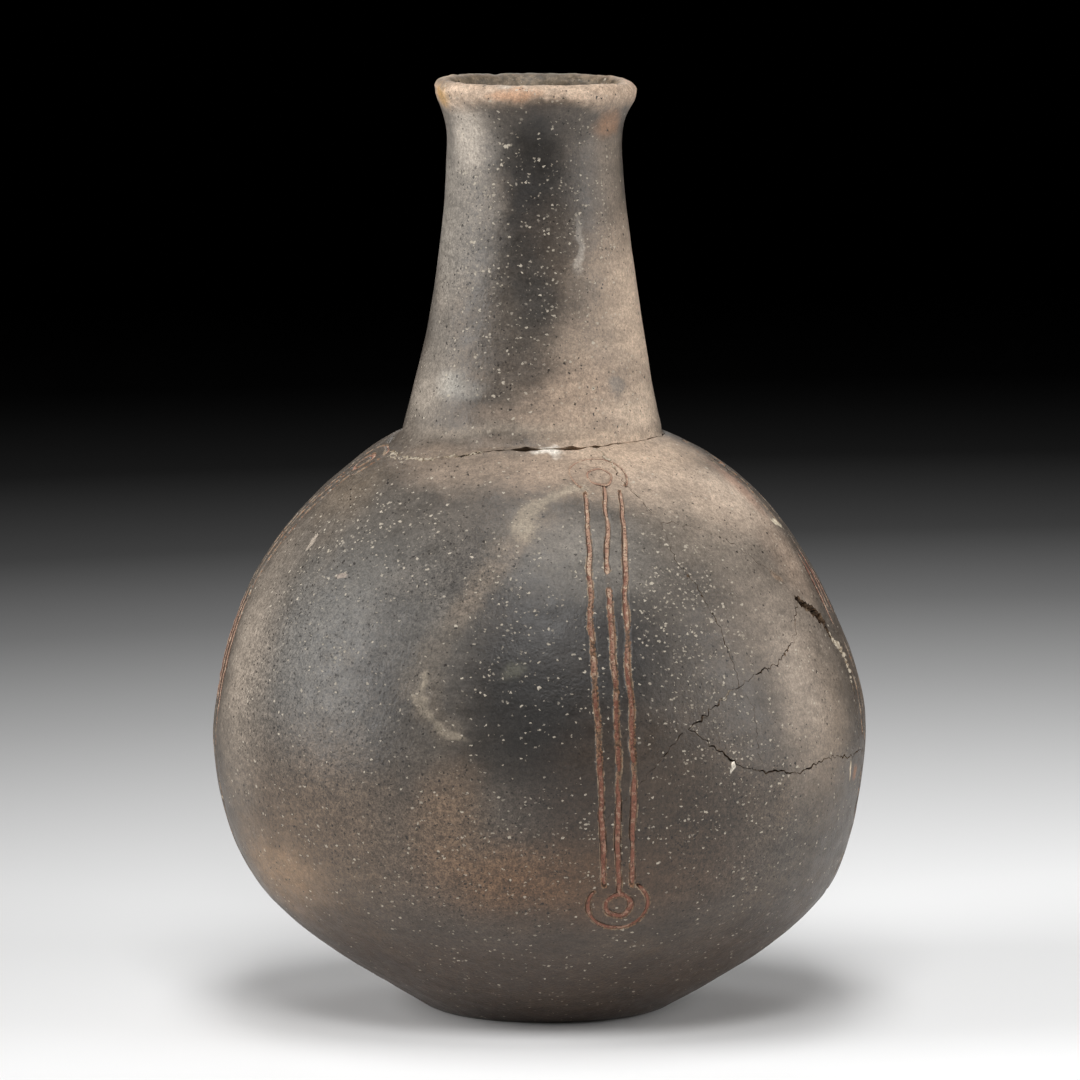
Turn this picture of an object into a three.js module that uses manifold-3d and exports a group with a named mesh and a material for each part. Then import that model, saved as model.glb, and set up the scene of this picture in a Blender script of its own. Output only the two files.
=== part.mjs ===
// Engraved bottle: a hand-built earthenware vessel with a small flat base, a globular body, and a
// tall tapering neck luted into the body's mouth. Four engraved panels run down the wall, each with
// three lines between two ring ends, rubbed with red ochre. Two sherds are mended into its side.
// Millimetres, +Z up. The origin lies on the plane that the base rests on, under the belly's centre.
// An azimuth is in degrees from the front (-Y), growing towards +X.

import * as THREE from "three";
import { mergeVertices } from "three/addons/utils/BufferGeometryUtils.js";
import Module from "manifold-3d";

const wasm = await Module();
wasm.setup();

// Body: outside radii and heights, with the wall's slope from level at each knot, in degrees
const baseRadius = 30.6;
const haunchRadius = 72.4;
const haunchHeight = 29.7;
const haunchSlope = 47;
const bellyRadius = 85.9;
const bellyHeight = 73;
const seamRadius = 34.1;
const seamHeight = 152.3;
const shoulderSlope = 156;
const bodyWall = 6;
const floorThickness = 7.5;

// Neck and lip
const neckLength = 92.8;
const neckRootSlope = 106;
const waistRadius = 23.05;
const waistDrop = 16.2;
const neckWall = 5.4;
const lipRadius = 26.4;
const lipThickness = 5.2;
const lipCrown = 2.9;

// The centreline wanders, as on a vessel built by hand: the foot and the neck stand off the belly
const footDrift = 2;
const neckDrift = -1.5;

// Joints in the clay: the neck's luted seam, and the cracks round the mended sherds
const seamGap = 0.35;
const crackWidth = 0.35;

// Engraved panels: distances are measured down the wall from the neck's seam
const panelAzimuths = { front: 14, right: 83, back: 180, left: -84 };
const upperRingDrop = 13.8;
const lowerRingDrop = 135.3;
const ringRadius = 7.7;
const eyeRadius = 3.3;
const lineSpacing = 4.5;
const panelLean = 6;
const leanEnd = 65;
const grooveWidth = 2;
const grooveDepth = 1;

// Red ochre in the grooves
const ochreThickness = 0.45;
const ochreGap = 0.3;

// Cracks round the mended sherds, each point given as a share of the belly's radius across from an
// azimuth, and a share of the wall's length down from the neck's seam
const mendAzimuth = 55;
const topCrack = [
  [-0.2701, 0.1589], [-0.163, 0.1721], [-0.0687, 0.1964], [0.0384, 0.244], [0.156, 0.2982],
];
const middleCrack = [
  [0.156, 0.2982], [0.0873, 0.3219], [0.0361, 0.3498], [-0.014, 0.3584], [-0.0896, 0.3766],
  [-0.2212, 0.3893], [-0.2771, 0.4004],
];
const shoulderCrack = [
  [-0.2771, 0.4004], [-0.2771, 0.3427], [-0.2852, 0.2784], [-0.3132, 0.2187], [-0.2701, 0.1589],
];
const rightCrack = [
  [0.156, 0.2982], [0.2468, 0.3209], [0.3027, 0.3543], [0.3516, 0.3898], [0.3725, 0.4353],
  [0.3609, 0.5153],
];
const bottomCrack = [
  [0.3609, 0.5153], [0.2526, 0.5189], [0.0768, 0.5097], [-0.0605, 0.5209], [-0.22, 0.5133],
  [-0.3201, 0.5016], [-0.4168, 0.4708], [-0.4843, 0.4475],
];
const bellyCrack = [
  [-0.4843, 0.4475], [-0.3842, 0.4217], [-0.2771, 0.4004],
];
const lostChip = [
  [0.1304, 0.2997], [0.1467, 0.2895], [0.1956, 0.3002], [0.2538, 0.3128], [0.3097, 0.3361],
  [0.2934, 0.3614], [0.2666, 0.3422], [0.2212, 0.324], [0.17, 0.3128],
];
const mendReach = 3 * bodyWall; // how far the cut through the wall runs, in and out from its outside

// Facets: steps in each span of an outline, from the base up, and steps round or along a form
const outerBodySteps = [4, 6, 11];
const innerBodySteps = [3, 4, 8];
const outerNeckSteps = [7, 4];
const innerNeckSteps = [5, 3];
const aroundSteps = 52;
const lineSteps = 8;
const ringSteps = 9;
const eyeSteps = 8;
const crownSteps = 6;
const plugSteps = 4;
const outlineSamples = 400;

const strokeEndGap = 0.4; // the land between a line's groove and the end of a ring's groove
const grooveClearance = 1; // how far a groove's cutter stands out of the wall
const weld = 1e-4; // corners of a mesh closer than this are one corner
const evenShare = 0.33; // a knot's plain share of its span
const down = -90;
const rad = THREE.MathUtils.degToRad;

// A knot of an outline in the radius-height plane. Heading is the direction of travel in degrees
// from outwards; arrive and leave are the shares of a span over which it runs on straight.
function knot(radius, height, heading, arrive = evenShare, leave = evenShare) {
  return { place: new THREE.Vector2(radius, height), heading, arrive, leave };
}

// The same knot on a line at a distance to the left of the direction of travel, inside the vessel.
function inset(k, distance) {
  const side = new THREE.Vector2(-Math.sin(rad(k.heading)), Math.cos(rad(k.heading)));
  return { ...k, place: k.place.clone().addScaledVector(side, distance) };
}

// The curve between two knots, tangent to both of their headings.
function span(from, to) {
  const length = from.place.distanceTo(to.place);
  const ahead = new THREE.Vector2(Math.cos(rad(from.heading)), Math.sin(rad(from.heading)));
  const behind = new THREE.Vector2(Math.cos(rad(to.heading)), Math.sin(rad(to.heading)));
  return new THREE.CubicBezierCurve(
    from.place,
    from.place.clone().addScaledVector(ahead, from.leave * length),
    to.place.clone().addScaledVector(behind, -to.arrive * length),
    to.place,
  );
}

// Points along the spans through a list of knots, with the given number of steps in each span.
function trace(knots, steps) {
  const points = [knots[0].place];
  steps.forEach((count, i) => {
    points.push(...span(knots[i], knots[i + 1]).getSpacedPoints(count).slice(1));
  });
  return points;
}

// Outer and inner knots. The two walls meet the seam at the mitre of the body's and neck's slopes.
const crest = seamHeight + neckLength;
const lipHeight = crest - lipCrown;
const waistHeight = crest - waistDrop;
const baseKnot = knot(baseRadius, 0, 0, 0, 0.05);
const haunchKnot = knot(haunchRadius, haunchHeight, haunchSlope, 0.44, 0.39);
const bellyKnot = knot(bellyRadius, bellyHeight, 90, 0.1, 0.22);
const shoulderKnot = knot(seamRadius, seamHeight, shoulderSlope, 0.45, 0);
const rootKnot = knot(seamRadius, seamHeight, neckRootSlope, 0, 0.21);
const waistKnot = knot(waistRadius, waistHeight, 90, 0.27, 0.6);
const lipKnot = knot(lipRadius, lipHeight, 90, 0.26, 0);

const halfTurn = (shoulderSlope - neckRootSlope) / 2;
const mitre = knot(seamRadius, seamHeight, neckRootSlope + halfTurn);
const innerSeam = inset(mitre, bodyWall / Math.cos(rad(halfTurn))).place;

const bodyKnots = [baseKnot, haunchKnot, bellyKnot, shoulderKnot];
const innerBodyKnots = [
  inset(baseKnot, floorThickness),
  inset(haunchKnot, bodyWall),
  inset(bellyKnot, bodyWall),
  { ...shoulderKnot, place: innerSeam },
];

// How far the centreline stands off the belly's axis at a height.
function drift(height) {
  const foot = footDrift * (1 - THREE.MathUtils.smoothstep(height, 0, bellyHeight));
  return foot + neckDrift * THREE.MathUtils.smoothstep(height, bellyHeight, seamHeight);
}

// A closed mesh as a solid that can be cut and joined.
function solid(geometry) {
  const bare = geometry.clone();
  bare.deleteAttribute("normal");
  bare.deleteAttribute("uv");
  const merged = mergeVertices(bare, weld);
  return new wasm.Manifold(
    new wasm.Mesh({
      numProp: 3,
      vertProperties: new Float32Array(merged.attributes.position.array),
      triVerts: new Uint32Array(merged.index.array),
    }),
  );
}

// A profile turned about the vertical, then leaned along the wandering centreline.
function turned(profile) {
  const geometry = new THREE.LatheGeometry(profile, aroundSteps).rotateX(Math.PI / 2);
  const position = geometry.attributes.position;
  for (let i = 0; i < position.count; i += 1) {
    position.setX(i, position.getX(i) + drift(position.getZ(i)));
  }
  return solid(geometry);
}

function bodyShell() {
  const outside = trace(bodyKnots, outerBodySteps);
  const inside = trace(innerBodyKnots, innerBodySteps).reverse();
  return turned([
    new THREE.Vector2(0, 0),
    ...outside,
    ...inside,
    new THREE.Vector2(0, floorThickness),
  ]);
}

// The neck stands in the body's mouth, lifted off its conical seat by the seam's open gap.
function neckTube() {
  const seat = rootKnot.place.clone().sub(innerSeam);
  const lift = new THREE.Vector2(0, (seamGap * seat.length()) / seat.x);
  const foot = { ...rootKnot, place: rootKnot.place.clone().add(lift) };
  const innerFoot = { ...rootKnot, place: innerSeam.clone().add(lift) };
  const throat = inset(waistKnot, neckWall);
  const mouth = inset(lipKnot, lipThickness);
  const outside = trace([foot, waistKnot, lipKnot], outerNeckSteps);
  const crown = new THREE.EllipseCurve(
    lipRadius - lipThickness / 2, lipHeight, lipThickness / 2, lipCrown, 0, Math.PI,
  );
  const inside = trace([innerFoot, throat, mouth], innerNeckSteps).reverse();
  return turned([
    ...outside,
    ...crown.getPoints(crownSteps).slice(1, -1),
    ...inside,
    outside[0],
  ]);
}

// The outer wall sampled by its length, for whatever is drawn on it.
const wallPath = new THREE.CurvePath();
bodyKnots.slice(1).forEach((to, i) => wallPath.add(span(bodyKnots[i], to)));
const wallLength = wallPath.getLength();
const wallPoints = wallPath.getSpacedPoints(outlineSamples);

// The outer wall at a distance down from the neck's seam: its radius, height and upward slope.
function wallAt(distance) {
  const along = THREE.MathUtils.clamp(1 - distance / wallLength, 0, 1) * outlineSamples;
  const i = Math.min(Math.floor(along), outlineSamples - 1);
  const slope = wallPoints[i + 1].clone().sub(wallPoints[i]).normalize();
  return { place: wallPoints[i].clone().lerp(wallPoints[i + 1], along - i), slope };
}

// How far a panel's lines have leaned to the right at a distance down from the seam.
function leanAt(distance) {
  return panelLean * (1 - THREE.MathUtils.smoothstep(distance, upperRingDrop, leanEnd));
}

// Bends a flat slab onto the wall at an azimuth: x runs across, y up from the seam, z out.
function wrapped(geometry, azimuth, lean = () => 0) {
  const position = geometry.attributes.position;
  for (let i = 0; i < position.count; i += 1) {
    const distance = -position.getY(i);
    const { place, slope } = wallAt(distance);
    const across = position.getX(i) + lean(distance);
    const angle = rad(azimuth) + across / place.x;
    const radius = place.x + position.getZ(i) * slope.y;
    const height = place.y - position.getZ(i) * slope.x;
    const x = radius * Math.sin(angle) + drift(place.y);
    position.setXYZ(i, x, -radius * Math.cos(angle), height);
  }
  return solid(geometry);
}

// A straight stroke down the wall.
function lineStroke(across, top, bottom, width, depth) {
  const length = bottom - top;
  const bar = new THREE.BoxGeometry(width, length, depth, 1, lineSteps, 1);
  return bar.translate(across, -(top + bottom) / 2, 0);
}

// A closed ring round an eye.
function eyeStroke(drop, width, depth) {
  const section = [[-1, -1], [1, -1], [1, 1], [-1, 1], [-1, -1]].map(([out, up]) => {
    return new THREE.Vector2(eyeRadius + (out * width) / 2, (up * depth) / 2);
  });
  return new THREE.LatheGeometry(section, eyeSteps).rotateX(Math.PI / 2).translate(0, -drop, 0);
}

// A ring bent out of a straight bar, open over half the mouth's angle each side of its facing.
function ringStroke(drop, facing, halfMouth, width, depth) {
  const bar = new THREE.BoxGeometry(width, 1, depth, 1, ringSteps, 1);
  const position = bar.attributes.position;
  for (let i = 0; i < position.count; i += 1) {
    const turn = THREE.MathUtils.lerp(halfMouth, 2 * Math.PI - halfMouth, position.getY(i) + 0.5);
    const angle = rad(facing) + turn;
    const radius = ringRadius + position.getX(i);
    position.setX(i, radius * Math.cos(angle));
    position.setY(i, radius * Math.sin(angle) - drop);
  }
  return bar;
}

// The strokes of one panel on the flat, each a list of slabs that run into each other. Spare
// widens and lengthens them all, for the grooves that hold the ochre.
function panelStrokes(spare, depth) {
  const width = grooveWidth - 2 * ochreGap + 2 * spare;
  const lineHalfAngle = Math.asin(Math.min(lineSpacing / ringRadius, 1));
  const sideInset = ringRadius * Math.cos(lineHalfAngle);
  const endGap = grooveWidth + strokeEndGap + ochreGap - spare;
  const halfMouth = lineHalfAngle + endGap / ringRadius;
  const top = upperRingDrop + sideInset - spare;
  const bottom = lowerRingDrop - sideInset + spare;
  return {
    middle_line: [
      lineStroke(0, upperRingDrop + eyeRadius, lowerRingDrop - eyeRadius, width, depth),
      eyeStroke(upperRingDrop, width, depth),
      eyeStroke(lowerRingDrop, width, depth),
    ],
    left_line: [lineStroke(-lineSpacing, top, bottom, width, depth)],
    right_line: [lineStroke(lineSpacing, top, bottom, width, depth)],
    upper_ring: [ringStroke(upperRingDrop, down, halfMouth, width, depth)],
    lower_ring: [ringStroke(lowerRingDrop, -down, halfMouth, width, depth)],
  };
}

// A panel's strokes on the wall at an azimuth, from one distance out from its surface to another.
function engraved(azimuth, spare, from, to) {
  const strokes = Object.entries(panelStrokes(spare, to - from));
  return strokes.map(([name, slabs]) => {
    const solids = slabs.map((slab) => {
      return wrapped(slab.translate(0, 0, (from + to) / 2), azimuth, leanAt);
    });
    return [name, solids.reduce((whole, piece) => whole.add(piece))];
  });
}

// A closed outline in mm, moved inwards by a distance, keeping its corners.
function shrunk(outline, distance) {
  const points = outline.map(([across, drop]) => {
    return new THREE.Vector2(across * bellyRadius, -drop * wallLength);
  });
  const turn = THREE.ShapeUtils.area(points) > 0 ? 1 : -1;
  return points.map((point, i) => {
    const before = point.clone().sub(points.at(i - 1)).normalize();
    const after = points[(i + 1) % points.length].clone().sub(point).normalize();
    const side = new THREE.Vector2(-before.y - after.y, before.x + after.x);
    const reach = (turn * distance) / (1 + before.dot(after));
    return point.clone().addScaledVector(side, reach);
  });
}

// The part of the wall inside an outline, right through it.
function plug(outline, distance) {
  const shape = new THREE.Shape(shrunk(outline, distance));
  const options = { depth: 2 * mendReach, steps: plugSteps, bevelEnabled: false };
  const slab = new THREE.ExtrudeGeometry(shape, options).translate(0, 0, -mendReach);
  return wrapped(slab, mendAzimuth);
}

const earthenware = { color: 0x4b4540, roughness: 0.5, metalness: 0 };
const ochre = { color: 0xa4573b, roughness: 0.95, metalness: 0 };
const bottle = new THREE.Group();
bottle.name = "engraved_bottle";

// Adds a finished solid to the bottle as a named mesh of its own material.
function place(name, piece, finish) {
  const { numProp, vertProperties, triVerts } = piece.getMesh();
  const geometry = new THREE.BufferGeometry();
  geometry.setAttribute("position", new THREE.BufferAttribute(vertProperties, numProp));
  geometry.setIndex(new THREE.BufferAttribute(triVerts, 1));
  geometry.computeVertexNormals();
  const mesh = new THREE.Mesh(geometry, new THREE.MeshStandardMaterial(finish));
  mesh.name = name;
  bottle.add(mesh);
}

// Engraved wall, with every groove cut before the sherds are parted from it
let wall = bodyShell();
for (const azimuth of Object.values(panelAzimuths)) {
  for (const [, groove] of engraved(azimuth, ochreGap, -grooveDepth, grooveClearance)) {
    wall = wall.subtract(groove);
  }
}

// Sherds, and the body that is left round them. Cracks that meet share their last corner.
const joined = (...cracks) => cracks.flatMap((crack) => crack.slice(0, -1));
const sherdOutlines = {
  upper_sherd: joined(topCrack, middleCrack, shoulderCrack),
  lower_sherd: joined(rightCrack, bottomCrack, bellyCrack, middleCrack.toReversed()),
};
const mendOutline = joined(topCrack, rightCrack, bottomCrack, bellyCrack, shoulderCrack);
const chipped = wall.subtract(plug(lostChip, 0));
place("body", chipped.subtract(plug(mendOutline, -crackWidth / 2)), earthenware);
for (const [name, outline] of Object.entries(sherdOutlines)) {
  place(name, chipped.intersect(plug(outline, crackWidth / 2)), earthenware);
}
place("neck", neckTube(), earthenware);

// Ochre strokes, each bedded on the floor of its groove
const ochreFloor = ochreGap - grooveDepth;
for (const [side, azimuth] of Object.entries(panelAzimuths)) {
  for (const [name, stroke] of engraved(azimuth, 0, ochreFloor, ochreFloor + ochreThickness)) {
    place(`ochre_${side}_${name}`, stroke, ochre);
  }
}

export default bottle;
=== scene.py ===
import math

import bpy
import numpy as np
from mathutils import Euler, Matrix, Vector


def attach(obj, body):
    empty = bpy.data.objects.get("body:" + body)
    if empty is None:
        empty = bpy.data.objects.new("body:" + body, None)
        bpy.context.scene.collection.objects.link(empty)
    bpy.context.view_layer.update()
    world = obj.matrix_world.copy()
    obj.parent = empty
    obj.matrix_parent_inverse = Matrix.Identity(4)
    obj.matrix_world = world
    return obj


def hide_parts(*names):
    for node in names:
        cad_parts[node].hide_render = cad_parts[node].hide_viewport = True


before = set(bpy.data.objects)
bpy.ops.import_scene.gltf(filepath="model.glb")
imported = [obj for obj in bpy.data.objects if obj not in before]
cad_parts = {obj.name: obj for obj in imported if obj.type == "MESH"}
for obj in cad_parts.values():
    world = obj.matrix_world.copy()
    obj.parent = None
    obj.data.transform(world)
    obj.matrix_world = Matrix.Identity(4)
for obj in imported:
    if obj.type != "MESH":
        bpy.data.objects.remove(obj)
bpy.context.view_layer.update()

bl_info = {
    "name": "Engraved Bottle",
    "version": (1, 0, 0),
    "blender": (4, 5, 0),
    "location": "View3D > Sidebar > Bottle",
    "description": "Mended earthenware bottle with engraved panels and red ochre",
    "category": "Add Mesh",
}

# Every length is in metres, but in the tables that say millimetres. An azimuth runs from the
# front (-Y) towards +X. A drop is a distance down the body's wall from the seam under the neck,
# and across is a distance round the wall.
MM = 0.001
FAR_FROM_LINES = -0.0015  # how far inside a groove's edge a place counts as where none is near


def length(name, default, description):
    """A length that a user may change."""
    return bpy.props.FloatProperty(
        name=name, default=default, description=description, unit="LENGTH", precision=5)


def share(name, default, description):
    """A plain number that a user may change."""
    return bpy.props.FloatProperty(name=name, default=default, description=description, precision=3)


def tone(name, srgb, description):
    """A colour that a user may change, its default given as 0 to 255 on screen."""
    return bpy.props.FloatVectorProperty(
        name=name, default=[linear(c) for c in srgb], description=description,
        subtype="COLOR", size=3, min=0, max=1)


def linear(channel):
    """Linear light of a screen value from 0 to 255: c / 12.92, or ((c + 0.055) / 1.055) ^ 2.4."""
    c = channel / 255
    return c / 12.92 if c <= 0.04045 else ((c + 0.055) / 1.055) ** 2.4


class BodySizes(bpy.types.PropertyGroup):
    """Sizes of the body's wall."""
    base_radius: length("Base radius", 0.0306, "Radius of the flat base")
    haunch_radius: length("Haunch radius", 0.0724, "Radius where the underside turns up")
    haunch_height: length("Haunch height", 0.0297, "Height where the underside turns up")
    belly_radius: length("Belly radius", 0.0859, "Greatest radius")
    belly_height: length("Belly height", 0.073, "Height of the greatest radius")
    seam_radius: length("Seam radius", 0.0341, "Radius of the neck's seam")
    seam_height: length("Seam height", 0.1523, "Height of the neck's seam")
    wall: length("Wall", 0.006, "Thickness of the body's wall")
    floor: length("Floor", 0.0075, "Thickness of the floor")
    unevenness: length("Unevenness", 0.00028, "How far the hand-built wall wanders in and out")


class NeckSizes(bpy.types.PropertyGroup):
    """Sizes of the neck and lip."""
    neck_length: length("Neck length", 0.0928, "Height from the seam to the lip's crest")
    waist_radius: length("Waist radius", 0.02305, "Least radius, under the lip")
    waist_drop: length("Waist drop", 0.0162, "Distance from the crest down to the waist")
    wall: length("Wall", 0.0054, "Thickness of the neck's wall")
    lip_radius: length("Lip radius", 0.0264, "Greatest radius of the lip")
    lip_thickness: length("Lip thickness", 0.0052, "Thickness of the lip")
    lip_crown: length("Lip crown", 0.0029, "Height of the rounded top of the lip")
    lip_waver: length("Lip waver", 0.0005, "How far the lip rises and falls round the mouth")
    seam_gap: length("Seam gap", 0.00032, "Width of the crack between the neck and the body")


class PanelSizes(bpy.types.PropertyGroup):
    """Sizes of the engraved panels."""
    upper_ring_drop: length("Upper ring", 0.0138, "Drop of the upper rings' centres")
    lower_ring_drop: length("Lower ring", 0.1353, "Drop of the lower rings' centres")
    ring_radius: length("Ring radius", 0.0077, "Radius of the outer rings")
    eye_radius: length("Eye radius", 0.0033, "Radius of the inner rings")
    line_spacing: length("Line spacing", 0.0045, "Distance between the lines")
    lean: length("Lean", 0.006, "How far the lines lean to the right at their tops")
    lean_end: length("Lean end", 0.065, "Drop at which the lines run straight down")
    groove_width: length("Groove width", 0.00165, "Width of the engraved grooves")
    groove_depth: length("Groove depth", 0.00074, "Depth of the engraved grooves")
    ochre_width: length("Ochre width", 0.00140, "Width of the ochre left in the grooves")
    ochre_top: length("Ochre top", 0.00026, "How far the ochre lies below the wall's surface")
    ochre_thickness: length("Ochre thickness", 0.00044, "Thickness of the ochre")


class MendSizes(bpy.types.PropertyGroup):
    """Sizes of the cracks and mends."""
    crack_width: length("Crack width", 0.00019, "Width of the cracks round the two sherds")
    crack_wander: length("Crack wander", 0.00020, "How far a crack strays from its course")
    hairline_width: length("Hairline width", 0.00017, "Width of the fine cracks")


class Finishes(bpy.types.PropertyGroup):
    """Colours of the clay, its smoke clouds, the ochre and the fillers."""
    clay: tone("Fired clay", (88, 79, 70), "Burnished wall where smoke only tinged it")
    temper: tone("Temper", (202, 191, 173), "Grains of temper that the burnish laid bare")
    pit: tone("Pit", (30, 22, 16), "Inside of the pits")
    raw_clay: tone("Raw clay", (150, 114, 88), "Clay laid bare in a groove or break")
    abraded: tone("Abraded edge", (192, 168, 140), "Chipped edges of the lines")
    ochre: tone("Red ochre", (130, 85, 69), "Pigment rubbed into the lines")
    pale_ochre: tone("Pale ochre", (172, 136, 115), "Pigment mixed with dust")
    filler: tone("Filler", (196, 184, 164), "Old filler left in the cracks")


class StageSettings(bpy.types.PropertyGroup):
    """Floor, light and camera."""
    left_power: share("Left lamp", 10.8, "Power of the left softbox, in watts")
    right_power: share("Right lamp", 6.4, "Power of the right softbox, in watts")
    front_power: share("Front lamp", 7.6, "Power of the high lamp in front, in watts")
    top_power: share("Top lamp", 6.5, "Power of the lamp overhead, in watts")
    back_power: share("Back lamp", 2.5, "Power of the lamp behind, in watts")
    surround: share("Surround", 0.03, "Brightness of the room round the stage")
    lens: share("Lens", 299.6, "Focal length in mm on a 36 mm sensor")
    camera_distance: length("Camera distance", 2.35, "From the camera to the bottle's axis")
    camera_height: length("Camera height", 0.414, "Height of the camera")
    aim_height: length("Aim height", 0.12355, "Height on the axis that the camera points at")


PANEL_AZIMUTHS = {"front": 14.0, "right": 83.0, "back": 180.0, "left": -84.0}
STROKES = ("middle_line", "left_line", "right_line", "upper_ring", "lower_ring")
LINE_SIDES = {"left_line": -1, "middle_line": 0, "right_line": 1}

# Where the front panel's lines run: drops, and how far across from the panel's azimuth they are
FRONT_LINES = {
    "left_line": ((0.018, 0.0396, 0.0581, 0.0806, 0.0965, 0.1135, 0.130),
                  (0.0006, -0.0021, -0.0042, -0.0053, -0.0054, -0.0047, -0.0040)),
    "middle_line": ((0.0171, 0.0459, 0.0639, 0.0864, 0.1023, 0.1196, 0.132),
                    (0.0062, 0.0018, 0.0009, -0.0003, -0.0006, -0.0006, 0.0001)),
    "right_line": ((0.0186, 0.026, 0.0524, 0.0698, 0.0866, 0.1198, 0.129),
                   (0.0102, 0.0094, 0.0059, 0.0043, 0.0036, 0.0034, 0.0033)),
}

# Drops between which the front panel's middle line is broken: fading, gone, back again, whole
MIDDLE_BREAK = (0.0452, 0.0462, 0.0498, 0.0508)

# Cracks: points across from the mends' azimuth and down the wall, in millimetres
MEND_AZIMUTH = 55.0
CRACKS = {
    "top": ((-23.2, 31.4), (-19.4, 31.6), (-14, 34), (-9.9, 36), (-5.9, 38.8), (2.3, 47.7),
            (5.2, 49.2), (7.3, 51.5), (13.4, 58.9)),
    "middle": ((13.4, 58.9), (7.5, 63.6), (6.1, 66.2), (3.1, 69.1), (-1.2, 70.8), (-7.7, 74.4),
               (-13.7, 75.3), (-19, 76.9), (-21.9, 78.3), (-23.8, 79.1)),
    "shoulder": ((-23.8, 79.1), (-23.2, 77.1), (-23.8, 67.7), (-23.3, 63.1), (-24.5, 57.2),
                 (-24.6, 51.7), (-26.9, 43.2), (-23.2, 31.4)),
    "right": ((13.4, 58.9), (18.1, 61.9), (21.2, 63.4), (25.2, 67), (26.3, 72.1), (31.1, 75.4),
              (33, 80.6), (32.3, 86), (31, 101.8)),
    "bottom": ((31, 101.8), (21.7, 102.5), (12.4, 100.9), (6.6, 100.7), (0.1, 101.7),
               (-5.2, 102.9), (-9.4, 102.7), (-14.1, 101.4), (-18.9, 101.4), (-27.5, 99.1),
               (-32.9, 95), (-35.8, 93), (-39, 90.1), (-41.6, 88.4)),
    "belly": ((-41.6, 88.4), (-36.7, 85.9), (-33, 83.3), (-29.5, 81.8), (-27, 79.7),
              (-23.8, 79.1)),
}
# How wide each crack is at its start and its end, as a share of the usual width
CRACK_WIDTHS = {"top": (0.5, 0.7), "middle": (1.0, 1.2), "shoulder": (1.2, 0.5),
                "right": (1.4, 1.4), "bottom": (1.3, 1.9), "belly": (1.8, 1.2)}
# How often a flake is lost at a point of each crack
FLAKED = {"lost chip": 0.8, "top": 0.05, "middle": 0.09, "shoulder": 0.07, "right": 0.22,
          "bottom": 0.12, "belly": 0.15, "neck_to_sherd": 0.08}
HAIRLINES = {
    "neck_to_sherd": ((-16.5, 1.0), (-16.9, 3), (-18.8, 6.7), (-19.1, 9), (-21.2, 12.8),
                      (-22.3, 16.4), (-22.8, 18.2), (-23.1, 23), (-23.5, 26.5), (-23.2, 31.3)),
    "across_panel": ((-41.7, 88.5), (-44.8, 90.5), (-48, 93.4), (-50.7, 96.1), (-52.5, 97.8),
                     (-56.5, 102), (-59.7, 105.8), (-64.1, 110.1), (-67.5, 114)),
    "to_right_panel": ((31, 101.9), (33.5, 102.2), (37.9, 102.9), (41, 104.4)),
    "in_lower_sherd": ((-22.6, 80), (-20.6, 84.6), (-20.9, 90), (-21.6, 95.5), (-19.8, 100.6)),
}
# The outline of the chip lost where the long crack opens, as the cracks
LOST_CHIP = ((11.6, 58.6), (12.8, 57.5), (15, 58.8), (17.4, 60.2), (19.9, 61.2), (22.2, 61.9),
             (23.6, 63.3), (25.7, 64.6), (26.6, 66.6), (26.3, 69), (26.9, 71.6), (25.2, 70.6),
             (24.1, 68.2), (22.7, 67), (20.6, 65.6), (18.6, 63.7), (16.2, 62.6), (13.9, 61.1))

# Where the seam's crack runs: degrees round from the front, and millimetres down the shoulder
SEAM_COURSE = ((-180, 1.0), (-120, 1.2), (-95, 2.2), (-80, 4.0), (-68, 7.2), (-60, 8.4),
               (-52, 8.6), (-41, 9.0), (-35, 6.8), (-25, 4.9), (-16, 2.7), (-6, 1.7), (6, 1.5),
               (19, 1.5), (28, 1.2), (40, 0.5), (55, 0.35), (90, 0.6), (130, 0.8), (180, 1.0))
# Where that crack gapes: degrees round, how far it reaches, and how much wider it gets
SEAM_OPENINGS = ((6, 24, 0.9), (-1.6, 4.5, 3.4), (15, 6, 2.6), (29, 2.6, 2.8), (-26, 3.5, 2.2))

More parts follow.
